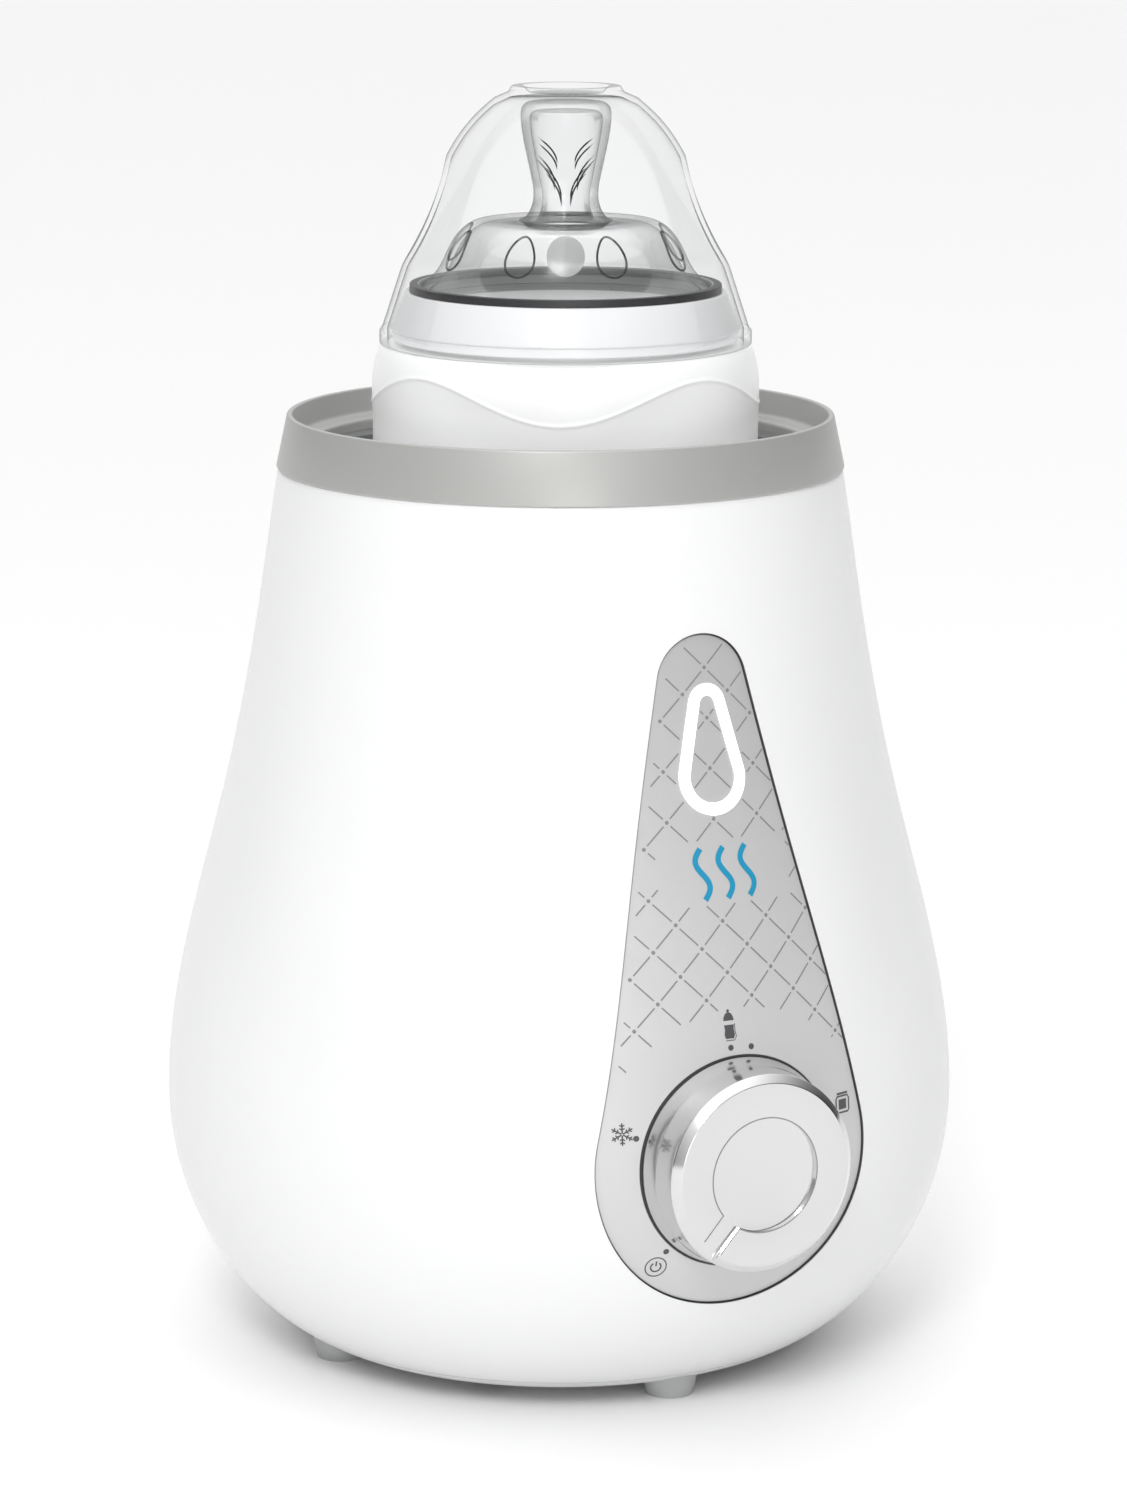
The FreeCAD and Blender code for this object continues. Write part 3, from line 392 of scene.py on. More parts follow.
CLOUD_SCALE = 45.0


def surface(name, colour, roughness, shift=0.02, grain=0.04, grain_size=0.4, dent=0.0, **shader):
    """Principled material whose colour, roughness and fine relief all vary.

    shift is the colour's share of change, grain the roughness's, grain_size is in millimetres and dent is
    the relief's height in millimetres.
    """
    look = bpy.data.materials.new(name)
    look.use_nodes = True
    tree = look.node_tree
    tree.nodes.clear()
    place = node(tree, "ShaderNodeTexCoord").outputs["Object"]
    cloud = node(tree, "ShaderNodeTexNoise", {"Vector": place, "Scale": CLOUD_SCALE, "Detail": 3.0})
    dark = [max(0.0, c * (1 - shift)) for c in colour]
    light = [min(1.0, c * (1 + shift)) for c in colour]
    ends = {0: cloud.outputs["Fac"], 6: (*dark, 1.0), 7: (*light, 1.0)}
    mix = node(tree, "ShaderNodeMix", ends, data_type="RGBA")
    fine = node(tree, "ShaderNodeTexNoise", {"Vector": place, "Scale": 1000.0 / grain_size, "Detail": 2.0})
    spread = node(tree, "ShaderNodeMapRange", {
        "Value": fine.outputs["Fac"],
        "To Min": max(0.0, roughness - grain),
        "To Max": min(1.0, roughness + grain),
    })
    bsdf = node(tree, "ShaderNodeBsdfPrincipled", {
        "Base Color": mix.outputs[2], "Roughness": spread.outputs["Result"],
    })
    if dent > 0:
        relief = {"Height": fine.outputs["Fac"], "Strength": 1.0, "Distance": dent * MM}
        bump = node(tree, "ShaderNodeBump", relief)
        tree.links.new(bump.outputs["Normal"], bsdf.inputs["Normal"])
    for socket, value in shader.items():
        bsdf.inputs[socket.replace("_", " ")].default_value = value
    node(tree, "ShaderNodeOutputMaterial", {"Surface": bsdf.outputs["BSDF"]})
    return look


WHITE_GLOW = (1.0, 1.0, 1.0, 1.0)
LOOKS = {
    "shell": surface("shell_white", (0.84, 0.842, 0.845), 0.25, 0.006, 0.03, 0.8, 0.002,
                     Specular_IOR_Level=0.3),
    "base": surface("base_white", (0.80, 0.80, 0.80), 0.45, 0.02, 0.06, 0.5, 0.01),
    "ring": surface("ring_grey", (0.45, 0.45, 0.438), 0.38, 0.015, 0.05, 0.35, 0.004, Metallic=0.3),
    "tank": surface("tank_metal", (0.36, 0.365, 0.37), 0.32, 0.05, 0.08, 0.5, 0.003, Metallic=0.85),
    "panel": surface("panel_silver", (0.60, 0.60, 0.60), 0.42, 0.02, 0.06, 0.25, 0.003, Metallic=0.15),
    "print": surface("print_grey", (0.075, 0.075, 0.08), 0.5, 0.05, 0.05, 0.3),
    "lattice": surface("lattice_grey", (0.23, 0.23, 0.23), 0.5, 0.05, 0.05, 0.3),
    "wave": surface("wave_blue", (0.012, 0.27, 0.46), 0.4, 0.05, 0.05, 0.3),
    "light": surface("light_opal", (0.95, 0.95, 0.95), 0.35, 0.01, 0.04, 0.5, 0.0,
                     Emission_Color=WHITE_GLOW, Emission_Strength=0.55),
    "chrome": surface("knob_silver", (0.72, 0.72, 0.722), 0.13, 0.01, 0.03, 0.3, 0.0006, Metallic=1.0),
    "face": surface("knob_face", (0.70, 0.70, 0.705), 0.34, 0.01, 0.04, 0.3, 0.001, Metallic=0.75),
    # dark_plastic_and_gap_shade is the dark plastic of the CAD parts and also painted shade: the dark ring
    # round the dial's hole.
    "dark": surface("dark_plastic_and_gap_shade", (0.03, 0.03, 0.032), 0.6, 0.1, 0.05, 0.4),
    # gap_grey_painted_shade is painted shade: the grey of the panel pocket's floor and wall stands in for
    # their shadow.
    "gap": surface("gap_grey_painted_shade", (0.13, 0.13, 0.135), 0.5, 0.05, 0.05, 0.4),
    "line": surface("knob_line", (0.30, 0.30, 0.305), 0.35, 0.03, 0.05, 0.4, Metallic=0.6),
    "foot": surface("foot_clear", (0.80, 0.81, 0.81), 0.35, 0.02, 0.06, 0.5, 0.004, Transmission_Weight=0.45,
                    IOR=1.42),
    # Painted light: the bottle's white emission is a glow that brightens its shaded wall.
    "bottle": surface("bottle_milky_painted_glow", (0.82, 0.825, 0.825), 0.3, 0.008, 0.04, 0.6, 0.002,
                      Emission_Color=WHITE_GLOW, Emission_Strength=0.14),
    "collar": surface("collar_white", (0.80, 0.805, 0.81), 0.2, 0.006, 0.03, 0.6, 0.002, Coat_Weight=0.4,
                      Coat_Roughness=0.08),
    "gasket": surface("gasket_black", (0.025, 0.025, 0.027), 0.4, 0.1, 0.06, 0.4, 0.002),
    "smoke": surface("gasket_smoke", (0.33, 0.33, 0.335), 0.4, 0.05, 0.06, 0.4, 0.002),
    "gland": surface("gland_white", (0.82, 0.82, 0.825), 0.4, 0.02, 0.06, 0.4, 0.004),
    "steel": surface("zinc_steel", (0.55, 0.55, 0.56), 0.35, 0.04, 0.08, 0.4, 0.003, Metallic=1.0),
    "brass": surface("brass", (0.70, 0.52, 0.25), 0.3, 0.04, 0.08, 0.4, 0.002, Metallic=1.0),
    "rubber": surface("seal_rubber", (0.62, 0.63, 0.63), 0.5, 0.03, 0.06, 0.4, 0.004),
    "inner": surface("inner_plastic", (0.62, 0.61, 0.58), 0.5, 0.03, 0.06, 0.5, 0.004),
    "board": surface("board_green", (0.03, 0.16, 0.06), 0.4, 0.05, 0.06, 0.6, 0.003),
    "wire_brown": surface("wire_brown", (0.12, 0.05, 0.02), 0.45, 0.05, 0.06, 0.4, 0.002),
    "wire_blue": surface("wire_blue", (0.02, 0.06, 0.28), 0.45, 0.05, 0.06, 0.4, 0.002),
}


def clear_look(name, tint, edge_tint, edge_power, gloss, roughness, milk=0.0):
    """Thin clear plastic: see-through, greyer where it is seen edge on, with a sharp gloss."""
    look = surface(name, (0.9, 0.9, 0.9), roughness, 0.01, 0.01, 0.8, 0.0, Metallic=0.9)
    tree = look.node_tree
    facing = node(tree, "ShaderNodeLayerWeight", {"Blend": 0.5})
    power = node(tree, "ShaderNodeMath", {0: facing.outputs["Facing"], 1: edge_power}, operation="POWER")
    ends = {0: power.outputs["Value"], 6: (*tint, 1.0), 7: (*edge_tint, 1.0)}
    colour = node(tree, "ShaderNodeMix", ends, data_type="RGBA")
    clear = node(tree, "ShaderNodeBsdfTransparent", {"Color": colour.outputs[2]})
    fresnel = node(tree, "ShaderNodeFresnel", {"IOR": 1.3})
    terms = {0: fresnel.outputs["Fac"], 1: gloss, 2: milk}
    amount = node(tree, "ShaderNodeMath", terms, operation="MULTIPLY_ADD", use_clamp=True)
    glossy = tree.nodes["Principled BSDF"].outputs["BSDF"]
    mix = node(tree, "ShaderNodeMixShader", {0: amount.outputs["Value"], 1: clear.outputs["BSDF"], 2: glossy})
    tree.links.new(mix.outputs["Shader"], tree.nodes["Material Output"].inputs["Surface"])
    return look


LOOKS["cap"] = clear_look("cap_clear", (0.994, 0.995, 0.996), (0.08, 0.085, 0.09), 11.0, 0.1, 0.04)
LOOKS["teat"] = clear_look("teat_clear", (0.978, 0.98, 0.98), (0.28, 0.29, 0.29), 10.0, 0.3, 0.16, 0.02)
LOOKS["nipple"] = clear_look("nipple_clear", (0.985, 0.987, 0.987), (0.36, 0.37, 0.37), 2.6, 0.35, 0.16,
                             0.01)
LOOKS["ridge"] = clear_look("teat_ridge", (0.80, 0.81, 0.81), (0.32, 0.33, 0.33), 1.5, 0.3, 0.16, 0.02)
# Painted light: the valve's white emission makes it glow though it is no lamp.
LOOKS["valve"] = surface("teat_valve_painted_glow", (0.95, 0.955, 0.955), 0.4, 0.01, 0.05, 0.5, 0.0, Alpha=0.3,
                         Emission_Color=WHITE_GLOW, Emission_Strength=0.25)


def paint_shade_by_height(look, low_z, high_z, high_share):
    """Paint shade into a look: its colour falls off with height, to high_share of itself at high_z."""
    tree = look.node_tree
    base = tree.nodes["Principled BSDF"].inputs["Base Color"]
    source = base.links[0].from_socket
    place = node(tree, "ShaderNodeTexCoord").outputs["Object"]
    parts = node(tree, "ShaderNodeSeparateXYZ", {0: place})
    share = node(tree, "ShaderNodeMapRange", {
        "Value": parts.outputs["Z"], "From Min": low_z, "From Max": high_z,
        "To Min": 1.0, "To Max": high_share,
    })
    terms = {0: source, "Scale": share.outputs["Result"]}
    scale = node(tree, "ShaderNodeVectorMath", terms, operation="SCALE")
    tree.links.new(scale.outputs["Vector"], base)


# Painted shade: the silver panel darkens towards its top, to 0.8 of its colour at 130 mm.
paint_shade_by_height(LOOKS["panel"], 70 * MM, 130 * MM, 0.8)

CAD_LOOKS = {
    "white_base": "base", "clear_rubber": "foot", "screw_steel": "steel", "seal_rubber": "rubber",
    "tank_metal": "tank", "frame_plastic": "inner", "heater_metal": "steel", "ptc_ceramic": "inner",
    "clamp_steel": "steel", "fuse_metal": "steel", "dark_plastic": "dark", "thermostat_ceramic": "inner",
    "brass": "brass", "nut_steel": "steel", "board_green": "board", "led_lens": "light",
    "terminal_plastic": "inner", "gland_rubber": "gland", "gland_plastic": "gland",
    "wire_brown": "wire_brown",
    "wire_white": "inner", "wire_blue": "wire_blue", "white_shell": "shell", "grey_ring": "ring",
    "panel_silver": "panel", "light_white": "light", "knob_chrome": "chrome", "bottle_plastic": "bottle",
    "teat_silicone": "teat", "collar_white": "collar", "gasket_dark": "gasket", "cap_clear": "cap",
}


def dress_cad_nodes():
    """Give every carried-over CAD node the look of its record slot."""
    for part in frame["record"]["subparts"]:
        look = LOOKS[CAD_LOOKS[part["material_slot"]]]
        mesh = frame["nodes"][part["node"]].data
        mesh.materials.clear()
        mesh.materials.append(look)
        mesh.polygons.foreach_set("material_index", [0] * len(mesh.polygons))


# ---------------------------------------------------------------- housing

PANEL_TOP_Z = 127.7 * MM
PANEL_TOP_R = 8.3 * MM
PANEL_LOW_R = 25.6 * MM
PANEL_PROUD = -0.5 * MM
PANEL_DEPTH = 1.5 * MM
PANEL_GAP = 0.3 * MM
DIAL_HOLE_R = 18.4 * MM
LOOP_TOP_Z = 124.4 * MM
LOOP_TOP_R = 3.5 * MM
LOOP_LOW_Z = 112.3 * MM
LOOP_LOW_R = 6.3 * MM
LOOP_BAND = 2.1 * MM
LOOP_PROUD = -0.1 * MM
LOOP_DEPTH = 1.2 * MM
LOOP_EDGE = 0.3 * MM
LOOP_SPACING = 1.0 * MM
GLAND_Z = (GLAND_LOW.z + GLAND_HIGH.z) / 2
GLAND_SEAT_Y = 64.5 * MM
GLAND_HOLE_R = 9.3 * MM
GLAND_SEAT = [(6.1, -4.5), (11.4, -4.5), (11.4, 2.3), (9.3, 2.3), (9.3, 0.0), (6.1, 0.0)]
SEAM_TOP_Z = 40 * MM
LIP_EDGE = 0.3 * MM
POCKET_BACK_Y = -30 * MM
CUT_CLEAR = 5 * MM
FACE_SOUTH = math.radians(-90)
RIM_TOP_R = 48.05 * MM
RIM_LIP = 0.9 * MM
RIM_SLOPE = (2.4 * MM, 0.6 * MM)
RIM_LEDGE_R = 43.7 * MM
RIM_LEDGE_Z = 162.2 * MM
RIM_LEDGE_WALL = 1.8 * MM
RIM_WALL = 3.0 * MM


def make_shell():
    """Outer shell: turned skin with the panel's pocket, the dial hole and the gland's seat."""
    skin = [tuple(p) for p in FLANK if p[0] >= SEAM_R or p[1] > SEAM_TOP_Z]
    inner = [(r - SHELL_WALL, z + 0.2 * MM) for r, z in reversed(skin)]
    top_r = skin[-1][0]
    edge = [(top_r, SHOULDER_Z - LIP_EDGE), (top_r - LIP_EDGE, SHOULDER_Z), (top_r - SHELL_WALL, SHOULDER_Z)]
    outline = skin[:-1] + edge + inner[1:-1] + [(SEAM_R - SHELL_WALL, skin[0][1])]
    piece = lathe("shell_skin", outline, "housing", "shell", steps=360)
    pocket = teardrop(PANEL_TOP_Z, PANEL_TOP_R + PANEL_GAP, DIAL_Z, PANEL_LOW_R + PANEL_GAP)
    cut_away(piece, prism(pocket, -SHELL_HIGH.x - CUT_CLEAR, POCKET_BACK_Y))
    gland_hole = circle(0.0, GLAND_Z, GLAND_HOLE_R, 96)
    cut_away(piece, prism(gland_hole, GLAND_SEAT_Y, SHELL_HIGH.x + CUT_CLEAR))
    finish_piece(piece, "housing", "shell")
    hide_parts("outer_shell")
    verts, faces = lathe_mesh(in_metres(GLAND_SEAT), steps=96)
    ring = add_piece("gland_seat", verts, faces, "housing", "shell")
    place = Matrix.Translation((0.0, GLAND_SEAT_Y, GLAND_Z))
    ring.data.transform(place @ Matrix.Rotation(FACE_SOUTH, 4, "X"))


def make_rim():
    """Grey ring round the mouth: thin lip, sloping inner wall and rounded ledge."""
    low_r, low, top = RIM_HIGH.x, RIM_LOW.z, RIM_HIGH.z
    ledge_low = RIM_LEDGE_Z - RIM_LEDGE_WALL
    outline = rounded([
        (low_r, low, 0.15 * MM),
        (RIM_TOP_R, top, 0.4 * MM),
        (RIM_TOP_R - RIM_LIP, top, 0.4 * MM),
        (RIM_LEDGE_R + RIM_SLOPE[0], RIM_LEDGE_Z + RIM_SLOPE[1], 1.2 * MM),
        (RIM_LEDGE_R, RIM_LEDGE_Z, 0.7 * MM),
        (RIM_LEDGE_R, ledge_low, 0.0),
        (low_r - RIM_WALL, ledge_low, 0.0),
        (low_r - RIM_WALL, low, 0.0),
    ])
    piece = lathe("rim_ring_turned", outline, "housing", "ring")
    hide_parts("rim_ring")


def make_panel():
    """Silver panel, its light loop and everything printed on it."""
    outer = teardrop(PANEL_TOP_Z, PANEL_TOP_R, DIAL_Z, PANEL_LOW_R)
    hole = circle(0.0, DIAL_Z, DIAL_HOLE_R, 128)
    verts, faces = body_patch(outer, [hole], PANEL_PROUD, PANEL_DEPTH, 0.15 * MM)
    panel = add_piece("panel_plate", verts, faces, "housing", "panel", 60)
    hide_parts("control_panel")
    band = teardrop(LOOP_TOP_Z, LOOP_TOP_R, LOOP_LOW_Z, LOOP_LOW_R)
    core = teardrop(LOOP_TOP_Z, LOOP_TOP_R - LOOP_BAND, LOOP_LOW_Z, LOOP_LOW_R - LOOP_BAND)
    shifted = [[(x + PRINT_SHIFT, z) for x, z in line] for line in (band, core)]
    verts, faces = body_patch(shifted[0], shifted[1:], LOOP_PROUD, LOOP_DEPTH, LOOP_EDGE, LOOP_SPACING)
    loop = add_piece("light_loop", verts, faces, "housing", "light", 60)
    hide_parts("light_pipe")
    make_lattice(outer, band, core)
    make_marks()


LIP_ROUND = 0.15 * MM
PRINT_PROUD = PANEL_PROUD + 0.03 * MM
PRINT_SHIFT = 0.5 * MM
PRINT_SPREAD = 0.02
PRINT_DROP = 0.27 * MM
LATTICE_TOP_Z = 130.5 * MM
LATTICE_HALF_X = 4.2 * MM
LATTICE_HALF_Z = 4.17 * MM
LATTICE_LEAN = 0.022
LATTICE_LINE = 0.24 * MM
LATTICE_GAP = 0.85 * MM
LATTICE_DOT_R = 0.33 * MM
LATTICE_DIAL_R = 26.2 * MM
LATTICE_ROWS = 16
LATTICE_COLUMNS = 6
LATTICE_MARGIN = 0.9 * MM
LOOP_CLEAR = 0.35 * MM
CORE_CLEAR = 0.3 * MM
BADGE_ZONE = (-11.5 * MM, 13.0 * MM, 91.5 * MM, 102.0 * MM)
DROP_START_Z = 90 * MM
DROP_REACH = 42 * MM
BLOT_SPACING = 0.6 * MM
SETTING_DOTS = [(-13.5, 34.2), (-19.0, 54.5), (-1.8, 68.2), (2.0, 68.0)]
SETTING_DOT_R = 0.5 * MM
POWER_PLACE = (-14.9 * MM, 31.4 * MM)
SNOW_PLACE = (-21.2 * MM, 55.3 * MM)
BOTTLE_PLACE = (-1.8 * MM, 71.9 * MM)
JAR_PLACE = (20.2 * MM, 55.8 * MM)
HEAT_PLACE = (0.6 * MM, 96.6 * MM)
HEAT_SPACING = 4.2
HEAT_SWAY = 1.1
HEAT_LENGTH = 8.4
HEAT_LINE = 1.0 * MM
HEAT_STEPS = 32
THIN_LINE = 0.2 * MM
SNOW_LINE = 0.24 * MM
POWER_LINE = 0.26 * MM
JAR_LINE = 0.3 * MM
LID_LINE = 0.36 * MM
MEASURE_LINE = 0.14 * MM


def printed(x, z):
    """Point of the print on the panel."""
    low_share = max(0.0, min(1.0, (DROP_START_Z - z) / DROP_REACH))
    return on_body(x + PRINT_SHIFT + PRINT_SPREAD * x, z - PRINT_DROP * low_share, PRINT_PROUD)


def moved(points, place):
    """Points in millimetres about a place on the panel, in metres."""
    return [(x * MM + place[0], z * MM + place[1]) for x, z in points]


class Print:
    """Flat shapes laid on the panel and gathered into one piece."""

    def __init__(self):
        self.verts = []
        self.faces = []

    def strip(self, points, width):
        """Line through (x, z) points."""
        start = len(self.verts)
        count = len(points)
        for i, (x, z) in enumerate(points):
            ax, az = points[max(i - 1, 0)]
            bx, bz = points[min(i + 1, count - 1)]
            across = Vector((az - bz, bx - ax)).normalized() * (width / 2)
            self.verts.append(printed(x + across.x, z + across.y))
            self.verts.append(printed(x - across.x, z - across.y))
        for i in range(count - 1):
            a = start + 2 * i
            self.faces.append((a, a + 1, a + 3, a + 2))

    def dot(self, x, z, r, count=20):
        """Round dot."""
        start = len(self.verts)
        self.verts += [printed(px, pz) for px, pz in circle(x, z, r, count)]
        self.faces.append(tuple(range(start, start + count)))

    def blot(self, outline):
        """Filled shape of any outline."""
        start = len(self.verts)
        flat, triangles = triangulated(outline, [], BLOT_SPACING)
        self.verts += [printed(x, z) for x, z in flat]
        self.faces += [tuple(start + i for i in triangle) for triangle in triangles]

    def finish(self, name, look):
        """Make the piece."""
        add_piece(name, self.verts, self.faces, "housing", look)


def make_lattice(outer, band, core):
    """Diamond lattice of thin dashes and dots, kept clear of the loop, badge and dial."""
    edge = shrunk(outer, LATTICE_MARGIN)
    loop_edge = shrunk(band, -LOOP_CLEAR)
    core_edge = shrunk(core, CORE_CLEAR)

    def shows(x, z):
        in_badge = BADGE_ZONE[0] < x < BADGE_ZONE[1] and BADGE_ZONE[2] < z < BADGE_ZONE[3]
        on_loop = inside(x, z, loop_edge) and not inside(x, z, core_edge)
        near_dial = math.hypot(x, z - DIAL_Z) < LATTICE_DIAL_R
        return inside(x, z, edge) and not in_badge and not on_loop and not near_dial

    sheet = Print()
    for row in range(-1, LATTICE_ROWS):
        z = LATTICE_TOP_Z - row * LATTICE_HALF_Z
        for column in range(-LATTICE_COLUMNS, LATTICE_COLUMNS + 1):
            if (row + column) % 2:
                continue
            x = column * LATTICE_HALF_X - LATTICE_LEAN * (LATTICE_TOP_Z - z)
            if shows(x, z):
                sheet.dot(x, z, LATTICE_DOT_R, 12)
            for side in (-1, 1):
                end_x = x + side * LATTICE_HALF_X - LATTICE_LEAN * LATTICE_HALF_Z
                dashes(sheet, (x, z), (end_x, z - LATTICE_HALF_Z), shows)
    sheet.finish("panel_lattice", "lattice")


def dashes(sheet, start, end, shows, steps=16):
    """The stretches of one lattice side that show."""
    low = LATTICE_GAP / math.dist(start, end)
    run = []
    for step in range(steps + 1):
        share = low + (1 - 2 * low) * step / steps
        point = (start[0] + (end[0] - start[0]) * share, start[1] + (end[1] - start[1]) * share)
        if shows(*point):
            run.append(point)
        if (not shows(*point) or step == steps) and len(run) > 2:
            sheet.strip(run, LATTICE_LINE)
        if not shows(*point):
            run = []


def make_marks():
    """Setting dots and the four plain symbols round the dial, and three heat waves as a badge."""
    sheet = Print()
    for x, z in in_metres(SETTING_DOTS):
        sheet.dot(x, z, SETTING_DOT_R)
    draw_power_symbol(sheet)
    draw_snow_symbol(sheet)
    draw_bottle_symbol(sheet)
    draw_jar_symbol(sheet)
    sheet.finish("panel_symbols", "print")
    sheet = Print()
    for k in (-1, 0, 1):
        points = []
        for step in range(HEAT_STEPS + 1):
            share = step / HEAT_STEPS
            sway = HEAT_SWAY * math.sin(TURN * share)
            points.append((k * HEAT_SPACING + sway, HEAT_LENGTH * share - HEAT_LENGTH / 2))
        sheet.strip(moved(points, HEAT_PLACE), HEAT_LINE)
    sheet.finish("panel_waves", "wave")


def arc(radius, start_deg, end_deg, steps, x=0.0, z=0.0):
    """Arc points about (x, z) in millimetres; angles are anticlockwise from +x."""
    angles = [math.radians(start_deg + (end_deg - start_deg) * k / steps) for k in range(steps + 1)]
    return [(x + radius * math.cos(a), z + radius * math.sin(a)) for a in angles]


def draw_power_symbol(sheet):
    """Ring round a broken circle and a bar."""
    sheet.strip(moved(arc(1.75, 0, 360, 40), POWER_PLACE), THIN_LINE)
    sheet.strip(moved(arc(0.85, 125, 415, 28), POWER_PLACE), POWER_LINE)
    sheet.strip(moved([(0.0, 0.15), (0.0, 1.1)], POWER_PLACE), POWER_LINE)


def draw_snow_symbol(sheet):
    """Six-armed snowflake."""
    for k in range(6):
        a = math.radians(60 * k + 30)
        c, s = math.cos(a), math.sin(a)
        sheet.strip(moved([(0.15 * c, 0.15 * s), (1.9 * c, 1.9 * s)], SNOW_PLACE), SNOW_LINE)
        for branch in (0.75, 1.3):
            for side in (-1, 1):
                b = a + side * math.radians(55)
                tip = (branch * c + 0.5 * math.cos(b), branch * s + 0.5 * math.sin(b))
                sheet.strip(moved([(branch * c, branch * s), tip], SNOW_PLACE), THIN_LINE)


def draw_bottle_symbol(sheet):
    """Small feeding bottle: teat, cap, filled body and an outline on its right."""
    cap = [(-0.95, 0.75), (0.95, 0.75), (0.85, 1.35)] + arc(0.75, 20, 160, 10, 0.0, 1.35) + [(-0.85, 1.35)]
    sheet.blot(moved(cap, BOTTLE_PLACE))
    sheet.dot(BOTTLE_PLACE[0], BOTTLE_PLACE[1] + 2.35 * MM, 0.25 * MM, 12)
    right = [(0.75, -2.2), (0.95, -1.6), (0.8, -0.7), (0.9, 0.05)]
    left = [(-x, z) for x, z in reversed(right)]
    sheet.blot(moved(left[-1:] + right + left[:-1], BOTTLE_PLACE))
    outline = [(-0.75, -2.5), (0.85, -2.5), (1.2, -1.9), (1.0, -0.9), (1.05, 0.2)]
    sheet.strip(moved(outline, BOTTLE_PLACE), MEASURE_LINE)


def draw_jar_symbol(sheet):
    """Small lidded jar with its contents."""
    right = [(1.15, 1.0), (1.45, 0.5), (1.45, -1.5), (1.2, -1.8)]
    left = [(-x, z) for x, z in reversed(right)]
    sheet.strip(moved(left[-1:] + right + left, JAR_PLACE), JAR_LINE)
    sheet.strip(moved([(-1.2, 1.45), (1.2, 1.45)], JAR_PLACE), LID_LINE)
    sheet.blot(moved([(-0.85, -1.25), (0.85, -1.25), (0.85, 0.45), (-0.85, 0.45)], JAR_PLACE))


HAIR = 0.02 * MM
POCKET_RISE = 0.4 * MM
POCKET_LINE_DEPTH = 1.6 * MM
DIAL_LINE = 0.34 * MM
LIP_STEPS = 6
LIP_INSET = 0.03 * MM


def make_gap_lines():
    """Floor, lip and wall of the panel's pocket, with floor and wall painted grey as shade, and a dark ring
    of painted shade round the dial's hole.
    """
    outline = teardrop(PANEL_TOP_Z, PANEL_TOP_R, DIAL_Z, PANEL_LOW_R)
    outer = shrunk(outline, -PANEL_GAP)
    count = len(outer)
    verts, faces = body_patch(shrunk(outline, -PANEL_GAP + HAIR), [shrunk(outline, 0.05 * MM)],
                              -PANEL_DEPTH + POCKET_RISE, POCKET_LINE_DEPTH, 0.01 * MM, 1.5 * MM, 1)
    # Painted shade: a grey floor strip round the panel, standing in for the shadow under its edge.
    add_piece("panel_gap_painted_shade", verts, faces, "housing", "gap")
    # Painted shade: a dark ring on the panel round the dial's hole, where the gap beside the knob is shaded.
    edge = circle(0.0, DIAL_Z, DIAL_HOLE_R - 0.01 * MM, 128)
    hole = circle(0.0, DIAL_Z, DIAL_HOLE_R - DIAL_LINE, 128)
    verts, faces = body_patch(edge, [hole], PANEL_PROUD - 0.05 * MM, PANEL_DEPTH, 0.01 * MM, 1.5 * MM, 1)
    add_piece("dial_gap_painted_shade", verts, faces, "housing", "dark")
    verts, faces = [], []
    for step in range(LIP_STEPS + 1):
        angle = math.pi / 2 * step / LIP_STEPS
        inset = -LIP_ROUND * (1 - math.sin(angle)) + LIP_INSET
        proud = HAIR - LIP_ROUND * (1 - math.cos(angle))
        verts += [on_body(x, z, proud) for x, z in shrunk(outer, inset)]
    for ring in range(LIP_STEPS):
        faces += band_faces(ring * count, (ring + 1) * count, count)
    add_piece("panel_lip", verts, faces, "housing", "shell", 60)
    # Painted shade: the pocket's far wall is grey, as if in shadow.
    wall = [on_body(x, z, proud) for proud in (-LIP_ROUND, -PANEL_DEPTH) for x, z in shrunk(outer, LIP_INSET)]
    add_piece("panel_wall_painted_shade", wall, band_faces(0, count, count), "housing", "gap", 60)


def band_faces(first, second, count):
    """Faces between two closed rows of count vertices each."""
    return [(first + i, second + i, second + (i + 1) % count, first + (i + 1) % count) for i in range(count)]


# ---------------------------------------------------------------- dial

POINTER_DEG = 221.0
RECESS_R = 9.8 * MM
CHANNEL_HALF = 1.9 * MM
RECESS_DEPTH = 1.0 * MM
CHAMFER_WIDTH = 1.3 * MM
CHAMFER_DEPTH = 1.3 * MM
LINE_WIDTH = 0.22 * MM
KNOB_FACE_R = 17.1 * MM
KNOB_FACE_SINK = 0.04 * MM
KNOB_FACE_WALL = 3.0 * MM
KNOB_SIDE_WALL = 1.8 * MM
FLARE_START = 6.4 * MM
FLARE_END = 9.4 * MM
CHANNEL_REACH = 19 * MM
LINE_REACH = 15.1 * MM
BEVEL_WIDTH = 0.22 * MM


def keyhole(recess_r, half, reach, count=72):
    """Outline of a circle with a channel out to reach, pointing up, anticlockwise."""
    start = math.asin(half / recess_r)
    points = [(half, reach), (-half, reach)]
    first = math.pi / 2 + start
    for k in range(count + 1):
        a = first + (TURN - 2 * start) * k / count
        points.append((recess_r * math.cos(a), recess_r * math.sin(a)))
    return points


